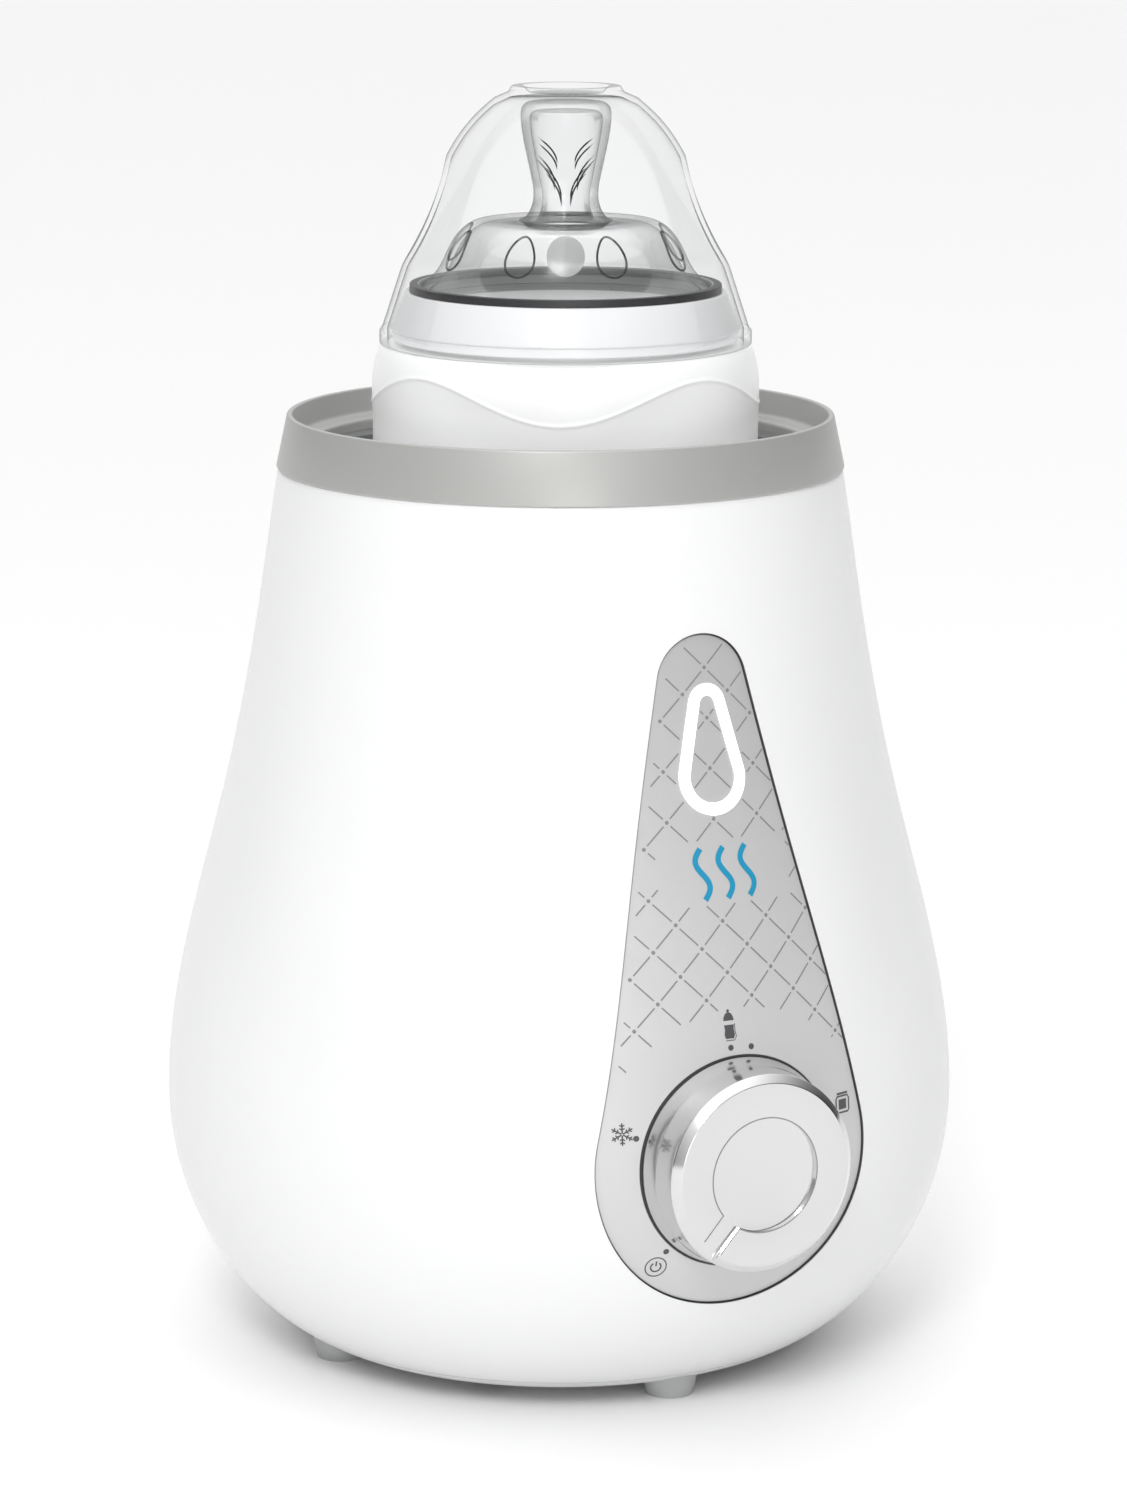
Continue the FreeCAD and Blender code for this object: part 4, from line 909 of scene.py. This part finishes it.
def make_knob():
    """Silver dial knob: turned cup with a chamfer and a keyhole recess outlined in its face."""
    face_y = KNOB_LOW.y + KNOB_FACE_SINK
    depth = KNOB_HIGH.y - face_y
    outline = rounded([
        (0.0, 0.0, 0.0),
        (0.0, KNOB_FACE_WALL, 0.0),
        (KNOB_FACE_R - 2.2 * MM, KNOB_FACE_WALL, 0.0),
        (DIAL_FOOT_R - KNOB_SIDE_WALL, depth, 0.2 * MM),
        (DIAL_FOOT_R, depth, 0.3 * MM),
        (DIAL_FOOT_R, FLARE_END, 0.2 * MM),
        (KNOB_FACE_R + 0.2 * MM, FLARE_START, 2.0 * MM),
        (KNOB_FACE_R, CHAMFER_DEPTH, 0.35 * MM),
        (KNOB_FACE_R - CHAMFER_WIDTH, 0.0, 0.3 * MM),
    ])
    verts, faces = lathe_mesh(outline, steps=240)
    knob = add_piece("knob_cup", verts, faces, "dial", "chrome", 40)
    place = Matrix.Translation((0.0, face_y, DIAL_Z)) @ Matrix.Rotation(FACE_SOUTH, 4, "X")
    knob.data.transform(place)
    turn = -math.radians(POINTER_DEG)
    recess = turned(keyhole(RECESS_R, CHANNEL_HALF, CHANNEL_REACH), turn)
    cut_away(knob, prism(recess, face_y - CUT_CLEAR, face_y + RECESS_DEPTH))
    bevel = knob.modifiers.new("edge", "BEVEL")
    bevel.width = BEVEL_WIDTH
    bevel.segments = 3
    bevel.limit_method = "ANGLE"
    bevel.angle_limit = math.radians(50)
    bevel.harden_normals = False
    apply_modifiers(knob)
    finish_piece(knob, "dial", "chrome", 30)
    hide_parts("knob")
    make_knob_line(face_y - 0.02 * MM, turn)


def turned(points, turn):
    """Points in (x, z) turned about the dial's middle."""
    c, s = math.cos(turn), math.sin(turn)
    return [(x * c - z * s, x * s + z * c + DIAL_Z) for x, z in points]


def make_knob_line(y, turn):
    """Fine shadow line along the keyhole's edge, laid on the knob's face."""
    inner = keyhole(RECESS_R, CHANNEL_HALF, LINE_REACH)
    outer = keyhole(RECESS_R + LINE_WIDTH, CHANNEL_HALF + LINE_WIDTH, LINE_REACH)
    verts = [(x, y, z) for line in (inner, outer) for x, z in turned(line, turn)]
    count = len(inner)
    faces = [(i, i + 1, count + i + 1, count + i) for i in range(1, count - 1)]
    faces.append((count - 1, 0, count, 2 * count - 1))
    add_piece("knob_line", verts, faces, "dial", "line")


# ---------------------------------------------------------------- bottle

WAVE_TURN = FRONT_TURN - math.radians(1.8)
WAVE_MIDDLE_Z = 172.55 * MM
WAVE_HEIGHT = 3.35 * MM
WAVE_REACH = 9.0 * MM
WAVE_DEPTH = 0.75 * MM
WAVE_FADE = 13.0 * MM
BEAD_HEIGHT = 0.14 * MM
BEAD_WIDTH = 0.35 * MM
WAVE_LOW_Z = 140 * MM
WAVE_LOW_REACH = 30 * MM
WALL_OUTSIDE = 2.0 * MM
PUSH_DEPTH = 6.75
BOTTLE_FOOT = 8 * MM
BOTTLE_WALL = 2.4 * MM
BOTTLE_FLOOR = 3.6 * MM
ROW_RUNS = [(154 * MM, 170 * MM, 0.5 * MM), (170 * MM, 179.3 * MM, 0.15 * MM)]
NECK_R = 27.6 * MM
NECK_WALL = 1.6 * MM
NECK_LOW_Z = 179.4 * MM
THREAD_START_Z = 181.2 * MM
THREAD_PITCH = 4.0 * MM * 0.62
THREAD_TURNS = 1.5
THREAD_RIDGE = 0.55 * MM
THREAD_STEPS = 144
THREAD_SIDES = 8
BOTTLE_SHOULDER = [(34.0, 171.0), (33.95, 173.5), (33.2, 177.6), (32.4, 179.4)]
SHOULDER_CURVE = smooth_curve(BOTTLE_SHOULDER, (0, 1), (-0.5, 0.8), 60) * MM


def wave_bend(r, z, angle):
    """Bottle wall: rows follow a four-fold wavy crease, under which a grip recess opens and fades out."""
    if r < BOTTLE_R - WALL_OUTSIDE or z < WAVE_LOW_Z:
        return r, z
    sway = -WAVE_HEIGHT * math.cos(4 * (angle - WAVE_TURN))
    if z > WAVE_MIDDLE_Z:
        share = max(0.0, 1 - abs(z - WAVE_MIDDLE_Z) / WAVE_REACH)
        share = share * share * (3 - 2 * share)
    else:
        share = max(0.0, 1 - (WAVE_MIDDLE_Z - z) / WAVE_LOW_REACH)
    z = min(z + sway * share, SHOULDER_CURVE[-1][1])
    r = float(np.interp(z, SHOULDER_CURVE[:, 1], SHOULDER_CURVE[:, 0]))
    below = (WAVE_MIDDLE_Z + sway - z) / WAVE_FADE
    bead = BEAD_HEIGHT * math.exp(-((below * WAVE_FADE) / BEAD_WIDTH) ** 2)
    if 0 < below < 1:
        crest = 0.5 - 0.5 * math.cos(4 * (angle - WAVE_TURN))
        r -= WAVE_DEPTH * (0.2 + 0.8 * crest) * PUSH_DEPTH * below * (1 - below) ** 2
    return r + bead, z


def make_bottle():
    """Milky bottle, lit by a painted glow in its material, with its wave relief, shoulder, neck and thread
    ridge.
    """
    low = BOTTLE_LOW.z
    top = BOTTLE_HIGH.z
    r = BOTTLE_R
    centre = (BOTTLE_X, BOTTLE_Y)
    foot_z = low + 2 * MM
    outer = rounded([(0.0, foot_z, 0.0), (26.2 * MM, foot_z, 1.0 * MM), (28.0 * MM, low, 0.8 * MM),
                     (r, low, 4.5 * MM), (r, low + BOTTLE_FOOT, 0.0)])[:-1]
    rows = list(np.arange(low + 10 * MM, ROW_RUNS[0][0], 6 * MM))
    for start, end, step in ROW_RUNS:
        rows += list(np.arange(start, end, step))
    wall = [(float(np.interp(z, SHOULDER_CURVE[:, 1], SHOULDER_CURVE[:, 0])), float(z)) for z in rows]
    bore_r = NECK_R - NECK_WALL
    inner_r = r - BOTTLE_WALL
    floor_z = low + BOTTLE_FLOOR
    neck = rounded([(32.4 * MM, NECK_LOW_Z, 0.0), (NECK_R, NECK_LOW_Z, 0.4 * MM), (NECK_R, top, 0.4 * MM),
                    (bore_r, top, 0.4 * MM), (bore_r, 177.4 * MM, 0.8 * MM), (inner_r, 175.0 * MM, 1.5 * MM),
                    (inner_r, low + 7 * MM, 3.0 * MM), (r - 6.0 * MM, floor_z, 0.0), (0.0, floor_z, 0.0)])
    piece = lathe("bottle_wall", outer + wall + neck, "bottle", "bottle", centre,
                  wave_bend, 50, 320)
    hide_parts("bottle_body")
    make_thread(centre)


def make_thread(centre):
    """One and a half turns of round thread on the neck."""
    verts, faces = [], []
    for step in range(THREAD_STEPS + 1):
        share = step / THREAD_STEPS
        angle = THREAD_TURNS * TURN * share
        taper = min(1.0, 12 * share, 12 * (1 - share)) + 0.02
        z = THREAD_START_Z + THREAD_PITCH * THREAD_TURNS * share
        for k in range(THREAD_SIDES):
            a = TURN * k / THREAD_SIDES
            r = NECK_R - 0.1 * MM + THREAD_RIDGE * taper * math.cos(a)
            verts.append((centre[0] + r * math.cos(angle), centre[1] + r * math.sin(angle),
                          z + THREAD_RIDGE * taper * math.sin(a)))
    for step in range(THREAD_STEPS):
        a = step * THREAD_SIDES
        faces += band_faces(a, a + THREAD_SIDES, THREAD_SIDES)
    faces.append(tuple(range(THREAD_SIDES)))
    faces.append(tuple(reversed(range(THREAD_STEPS * THREAD_SIDES, (THREAD_STEPS + 1) * THREAD_SIDES))))
    add_piece("bottle_thread", verts, faces, "bottle", "bottle", 60)


COLLAR_OUTLINE = [
    (28.6, 180.3, 0.0), (30.4, 180.3, 0.3), (30.4, 181.9, 0.0), (30.9, 182.2, 0.3),
    (28.1, 188.6, 0.5), (25.6, 188.6, 0.3), (25.6, 187.1, 0.0), (28.6, 187.1, 0.0),
]
COLLAR_MOUTH_R = 25.6 * MM
BAND_WIDTH = 1.5 * MM


def make_collar():
    """White screw collar, the black band on its top and the smoky seal inside the band."""
    centre = (BOTTLE_X, BOTTLE_Y)
    outline = rounded(in_metres(COLLAR_OUTLINE))
    collar = lathe("collar_turned", outline, "screw_collar", "collar", centre)
    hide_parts("collar")
    low, high = GASKET_LOW.z, GASKET_HIGH.z
    outer_r = (GASKET_HIGH.x - GASKET_LOW.x) / 2
    split_r = outer_r - BAND_WIDTH
    band = rounded([(split_r, low, 0.0), (outer_r, low, 0.05 * MM), (outer_r - 0.1 * MM, high, 0.12 * MM),
                    (split_r, high, 0.0)])
    gasket = lathe("collar_band", band, "screw_collar", "gasket", centre)
    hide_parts("collar_gasket")
    lip = rounded([(COLLAR_MOUTH_R, low, 0.0), (split_r, low, 0.0), (split_r, high, 0.0),
                   (COLLAR_MOUTH_R, high, 0.3 * MM)])
    lathe("collar_lip", lip, "screw_collar", "smoke", centre)


TEAT_DOME = [(25.2, 189.4), (22.2, 192.6), (20.2, 196.6), (17.6, 199.8), (15.2, 200.9)]
TEAT_NECK = [(8.2, 200.9), (5.8, 204.0), (6.0, 208.2), (7.1, 213.3), (7.9, 218.6)]
DOME_CURVE = smooth_curve(TEAT_DOME, (-0.8, 0.6), (-1, 0.15), 40) * MM
NECK_CURVE = smooth_curve(TEAT_NECK, (-0.99, 0.13), (0.05, 1), 60) * MM
PETAL_DEGREES = (-112.5, -67.5, -22.5, 22.5, 67.5, 112.5)
PETAL_HIGH_Z = 199.6 * MM
PETAL_LOW_Z = 193.0 * MM
PETAL_HALF_WIDTH = 2.6 * MM
RIDGE_R = 0.2 * MM
VALVE_Z = 196.6 * MM
VALVE_R = 3.3 * MM
VALVE_RISE = 0.16 * MM
RIB_R = 0.15 * MM
RIB_RUNS = [(203.8, 209.5, 8.0, 34.0), (206.5, 211.8, 20.0, 48.0), (210.2, 214.6, 14.0, 40.0)]
TEAT_FOOT = [(23.7, 186.0), (27.2, 186.0), (27.2, 187.0), (25.2, 187.0)]
NIPPLE_END = [(7.9, 218.6, 0.0), (7.9, 221.5, 1.9), (0.0, 221.5, 0.0)]
LINING_END = [(0.0, 219.9, 0.0), (6.3, 219.9, 1.2), (6.38, 218.3, 0.0)]
DOME_WALL = (1.4 * MM, 0.6 * MM)
NECK_LINING = (1.5 * MM, 1.2 * MM)


def on_teat(z, across, proud, turn):
    """Point on the teat's dome at a height, a distance across from the direction turn."""
    r = float(np.interp(z, DOME_CURVE[:, 1], DOME_CURVE[:, 0])) + proud
    angle = turn + across / r
    return Vector((BOTTLE_X + r * math.cos(angle), BOTTLE_Y + r * math.sin(angle), z))


def on_nipple(z, angle, proud):
    """Point on the nipple's wall at a height and angle."""
    r = float(np.interp(z, NECK_CURVE[:, 1], NECK_CURVE[:, 0])) + proud
    return Vector((BOTTLE_X + r * math.cos(angle), BOTTLE_Y + r * math.sin(angle), z))


def tube(verts, faces, path, radius, looped, sides=8):
    """Round ridge along a path of points; its ends taper unless it is looped."""
    start = len(verts)
    count = len(path)
    axis = Vector((BOTTLE_X, BOTTLE_Y, 0.0))
    for i, point in enumerate(path):
        before = path[i - 1] if looped or i else path[0]
        after = path[(i + 1) % count] if looped or i < count - 1 else path[-1]
        along = (after - before).normalized()
        out = point - axis
        out.z = 0.0
        side = along.cross(out).normalized()
        rise = side.cross(along)
        size = radius if looped else radius * min(1.0, 0.15 + 5.0 * min(i, count - 1 - i) / count)
        for k in range(sides):
            a = TURN * k / sides
            verts.append(point + size * (side * math.cos(a) + rise * math.sin(a)))
    rings = count if looped else count - 1
    for i in range(rings):
        a = start + i * sides
        b = start + ((i + 1) % count) * sides
        for k in range(sides):
            m = (k + 1) % sides
            faces.append((a + k, b + k, b + m, a + m))
    if not looped:
        faces.append(tuple(range(start, start + sides)))
        faces.append(tuple(reversed(range(start + rings * sides, start + (rings + 1) * sides))))


def make_teat():
    """Clear silicone teat: flange, dome with petal ridges, slim nipple with fine ribs and a valve."""
    centre = (BOTTLE_X, BOTTLE_Y)
    end = rounded(in_metres(NIPPLE_END))
    lining_end = rounded(in_metres(LINING_END))
    lining_dome = [(r - DOME_WALL[0], z - DOME_WALL[1]) for r, z in DOME_CURVE]
    last = len(NECK_CURVE) - 1
    lining_neck = [(r - NECK_LINING[0], z - NECK_LINING[1] * (1 - k / last))
                   for k, (r, z) in enumerate(NECK_CURVE)]
    join = [tuple(NECK_CURVE[0]), lining_neck[0]]
    outline = in_metres(TEAT_FOOT) + [tuple(p) for p in DOME_CURVE] + join + list(reversed(lining_dome))
    piece = lathe("teat_silicone", outline, "nipple", "teat", centre, None, 60, 192)
    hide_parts("teat")
    outline = [tuple(p) for p in NECK_CURVE[:-1]] + end + lining_end + list(reversed(lining_neck))[1:]
    lathe("teat_neck", outline, "nipple", "nipple", centre, None, 60, 192)
    make_petals()
    make_ribs()
    make_valve()


def make_petals():
    """Loop ridges round the dome, wider and rounder at their low end."""
    verts, faces = [], []
    middle = (PETAL_HIGH_Z + PETAL_LOW_Z) / 2
    half = (PETAL_HIGH_Z - PETAL_LOW_Z) / 2
    for degrees in PETAL_DEGREES:
        turn = FRONT_TURN + math.radians(degrees)
        path = []
        for step in range(48):
            a = TURN * step / 48
            z = middle + half * math.sin(a)
            across = PETAL_HALF_WIDTH * math.cos(a) * (1 - 0.25 * math.sin(a))
            path.append(on_teat(z, across, 0.05 * MM, turn))
        tube(verts, faces, path, RIDGE_R, True)
    add_piece("teat_petals", verts, faces, "nipple", "ridge", 60)


def make_ribs():
    """Three pairs of fine curved ribs up the nipple's front, and three behind."""
    verts, faces = [], []
    for face in (0.0, math.pi):
        for low, high, near, far in RIB_RUNS:
            for side in (-1, 1):
                path = []
                for step in range(17):
                    share = step / 16
                    z = (low + (high - low) * share) * MM
                    angle = FRONT_TURN + face + side * math.radians(near + (far - near) * share ** 2)
                    path.append(on_nipple(z, angle, -0.03 * MM))
                tube(verts, faces, path, RIB_R, False)
    add_piece("teat_ribs", verts, faces, "nipple", "ridge", 60)


def make_valve():
    """Round milky air valve at the front of the dome, glowing with painted light."""
    rings, spokes = 5, 32
    verts, faces = [on_teat(VALVE_Z, 0.0, VALVE_RISE, FRONT_TURN)], []
    for ring in range(1, rings + 1):
        share = ring / rings
        proud = VALVE_RISE * (1 - share ** 6) + 0.01 * MM
        for spoke in range(spokes):
            a = TURN * spoke / spokes
            z = VALVE_Z + VALVE_R * share * math.sin(a)
            verts.append(on_teat(z, VALVE_R * share * math.cos(a), proud, FRONT_TURN))
    for spoke in range(spokes):
        faces.append((0, 1 + spoke, 1 + (spoke + 1) % spokes))
        for ring in range(rings - 1):
            a = 1 + ring * spokes
            b = a + spokes
            after = (spoke + 1) % spokes
            faces.append((a + spoke, b + spoke, b + after, a + after))
    add_piece("teat_valve_painted_glow", verts, faces, "nipple", "valve", 60)


CAP_DOME = [(32.1, 182.4), (30.2, 188.2), (27.9, 195.0), (24.8, 203.0), (21.4, 211.0), (17.3, 217.5),
            (12.5, 222.1)]
CAP_START = (-0.32, 0.95)
CAP_END = (-0.78, 0.62)
CAP_CURVE = smooth_curve(CAP_DOME, CAP_START, CAP_END, 200) * MM
CAP_WALL = 0.9 * MM
GRIP_R = 50.0 * MM
GRIP_MIDDLE = (23.65 * MM, 202.4 * MM)
GRIP_LEAN = math.radians(22.0)
GRIP_LOW_Z = 186 * MM
GRIP_HIGH_Z = 216 * MM
GRIP_MIN_SIDE = 0.5
GRIP_SOFT = 0.12 * MM
DISH_DEPTH = 1.2 * MM
CAP_FLANGE = [(31.2, 179.5, 0.0), (32.6, 179.5, 0.25), (32.6, 181.9, 0.3), (32.2, 181.95, 0.0)]


def make_cap():
    """Clear dome cap: flange, raised rim round its dish, and a scooped grip on each side."""
    centre = (BOTTLE_X, BOTTLE_Y)
    dome = smooth_curve(CAP_DOME, CAP_START, CAP_END, 90) * MM
    top_z = CAP_HIGH.z
    dish_z = top_z - DISH_DEPTH
    top = rounded([
        (12.5 * MM, 222.1 * MM, 0.0), (10.1 * MM, 223.15 * MM, 0.35 * MM), (9.5 * MM, top_z, 0.4 * MM),
        (7.6 * MM, top_z, 0.4 * MM), (6.4 * MM, dish_z, 0.3 * MM), (0.0, dish_z, 0.0),
        (0.0, dish_z - CAP_WALL, 0.0), (10.0 * MM, dish_z - CAP_WALL, 0.6 * MM),
    ])
    lining = []
    for i, (r, z) in enumerate(dome):
        ahead = dome[min(i + 1, len(dome) - 1)] - dome[max(i - 1, 0)]
        ahead = ahead / np.linalg.norm(ahead)
        lining.append((r - CAP_WALL * ahead[1], z + CAP_WALL * ahead[0]))
    flange = rounded(in_metres(CAP_FLANGE))
    outline = flange + [tuple(p) for p in dome] + top[1:] + list(reversed(lining))[2:]
    piece = lathe("cap_dome", outline, "cap", "cap", centre, grip_bend, 45, 384)
    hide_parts("dome_cap")


def grip_bend(r, z, angle):
    """Cap wall scooped by a lying cylinder on each side; the inside follows at the wall's thickness."""
    if z < GRIP_LOW_Z or z > GRIP_HIGH_Z:
        return r, z
    side = abs(math.cos(angle - FRONT_TURN - math.pi / 2))
    if side < GRIP_MIN_SIDE:
        return r, z
    wall = 0.0 if r > cap_radius(z) - CAP_WALL / 2 else CAP_WALL
    centre_x = GRIP_MIDDLE[0] + GRIP_R * math.cos(GRIP_LEAN)
    centre_z = GRIP_MIDDLE[1] + GRIP_R * math.sin(GRIP_LEAN)
    reach = (GRIP_R + wall) ** 2 - (z - centre_z) ** 2
    scooped = (centre_x - math.sqrt(reach)) / side
    share = max(0.0, min(1.0, 0.5 + 0.5 * (scooped - r) / GRIP_SOFT))
    return scooped + (r - scooped) * share - GRIP_SOFT * share * (1 - share), z


def cap_radius(z):
    """Outer radius of the cap's dome at a height."""
    return float(np.interp(z, CAP_CURVE[:, 1], CAP_CURVE[:, 0]))


# ---------------------------------------------------------------- stage, light and camera

CAMERA_DISTANCE = 0.8688
CAMERA_HEIGHT = 0.2865
CAMERA_SIDE = 0.00065
CAMERA_AZIMUTH = math.radians(26.5)
CAMERA_PITCH = math.radians(11.71)
CAMERA_ROLL = math.radians(0.13)
CAMERA_LENS = 119.4
FLOOR_R = 60.0


def make_stage():
    """Plain white floor."""
    bpy.ops.mesh.primitive_circle_add(vertices=96, radius=FLOOR_R, fill_type="NGON")
    floor = bpy.context.object
    floor.name = "floor"
    floor.data.materials.append(surface("floor_white", (0.96, 0.96, 0.96), 0.6, 0.003, 0.02, 5.0))


def area_light(name, place, target, size, power):
    """Square soft light at a place, aimed at a target."""
    data = bpy.data.lights.new(name, "AREA")
    data.shape = "SQUARE"
    data.size = size
    data.energy = power
    light = bpy.data.objects.new(name, data)
    bpy.context.scene.collection.objects.link(light)
    light.location = place
    light.rotation_euler = (Vector(target) - Vector(place)).to_track_quat("-Z", "Y").to_euler()


LIGHT_SIZE = 0.5
KEY_PLACE = (-0.95, -1.35, 1.5)
KEY_TARGET = (0.0, 0.0, 0.11)
KEY_POWER = 13.0
FRONT_PLACE = (-0.55, -1.4, 0.22)
FRONT_TARGET = (0.0, 0.0, 0.05)
FRONT_POWER = 2.2
WORLD_FRONT = 0.70
WORLD_SIDE = 0.02
WORLD_TILT = 0.06
WORLD_ABOVE = 0.9
WORLD_FALL_START = 0.3
WORLD_FALL_END = 0.95


def make_world():
    """White studio, bright in front, above and behind, falling to grey on the camera's left and right."""
    world = bpy.data.worlds.new("studio")
    bpy.context.scene.world = world
    world.use_nodes = True
    tree = world.node_tree
    background = tree.nodes["Background"]
    background.inputs["Color"].default_value = (1.0, 1.0, 1.0, 1.0)
    place = node(tree, "ShaderNodeTexCoord").outputs["Generated"]
    right = (math.cos(CAMERA_AZIMUTH), -math.sin(CAMERA_AZIMUTH), 0.0)
    across = node(tree, "ShaderNodeVectorMath", {0: place, 1: right}, operation="DOT_PRODUCT")
    sideways = across.outputs["Value"]
    size = node(tree, "ShaderNodeMath", {0: sideways}, operation="ABSOLUTE")
    fall = node(tree, "ShaderNodeMapRange", {
        "Value": size.outputs["Value"], "From Min": WORLD_FALL_START, "From Max": WORLD_FALL_END,
        "To Min": WORLD_FRONT, "To Max": WORLD_SIDE,
    }, interpolation_type="SMOOTHSTEP")
    terms = {0: sideways, 1: -WORLD_TILT, 2: fall.outputs["Result"]}
    tilt = node(tree, "ShaderNodeMath", terms, operation="MULTIPLY_ADD")
    parts = node(tree, "ShaderNodeSeparateXYZ", {0: place})
    above = node(tree, "ShaderNodeMapRange", {"Value": parts.outputs["Z"]})
    square = node(tree, "ShaderNodeMath", {0: above.outputs["Result"], 1: 2.0}, operation="POWER")
    terms = {0: square.outputs["Value"], 1: WORLD_ABOVE, 2: tilt.outputs["Value"]}
    total = node(tree, "ShaderNodeMath", terms, operation="MULTIPLY_ADD")
    tree.links.new(total.outputs["Value"], background.inputs["Strength"])


def make_lights():
    """Two large soft boxes: one high on the left, one low in front."""
    area_light("key", KEY_PLACE, KEY_TARGET, LIGHT_SIZE, KEY_POWER)
    area_light("front", FRONT_PLACE, FRONT_TARGET, LIGHT_SIZE, FRONT_POWER)


def make_camera():
    """Camera at the known distance, height and angle."""
    c, s = math.cos(CAMERA_AZIMUTH), math.sin(CAMERA_AZIMUTH)
    data = bpy.data.cameras.new("camera")
    data.lens = CAMERA_LENS
    data.sensor_width = 36.0
    data.clip_start = 0.01
    camera = bpy.data.objects.new("camera", data)
    bpy.context.scene.collection.objects.link(camera)
    camera.location = (
        CAMERA_SIDE * c - CAMERA_DISTANCE * s, -CAMERA_SIDE * s - CAMERA_DISTANCE * c, CAMERA_HEIGHT,
    )
    forward = Vector((math.cos(CAMERA_PITCH) * s, math.cos(CAMERA_PITCH) * c, -math.sin(CAMERA_PITCH)))
    aim = forward.to_track_quat("-Z", "Y").to_matrix()
    camera.rotation_euler = (aim @ Matrix.Rotation(CAMERA_ROLL, 3, "Z")).to_euler()
    bpy.context.scene.camera = camera


make_camera()
make_stage()
make_world()
make_lights()
dress_cad_nodes()
make_shell()
make_rim()
make_panel()
make_gap_lines()
make_knob()
make_bottle()
make_collar()
make_teat()
make_cap()
bpy.context.scene.view_settings.view_transform = "Standard"
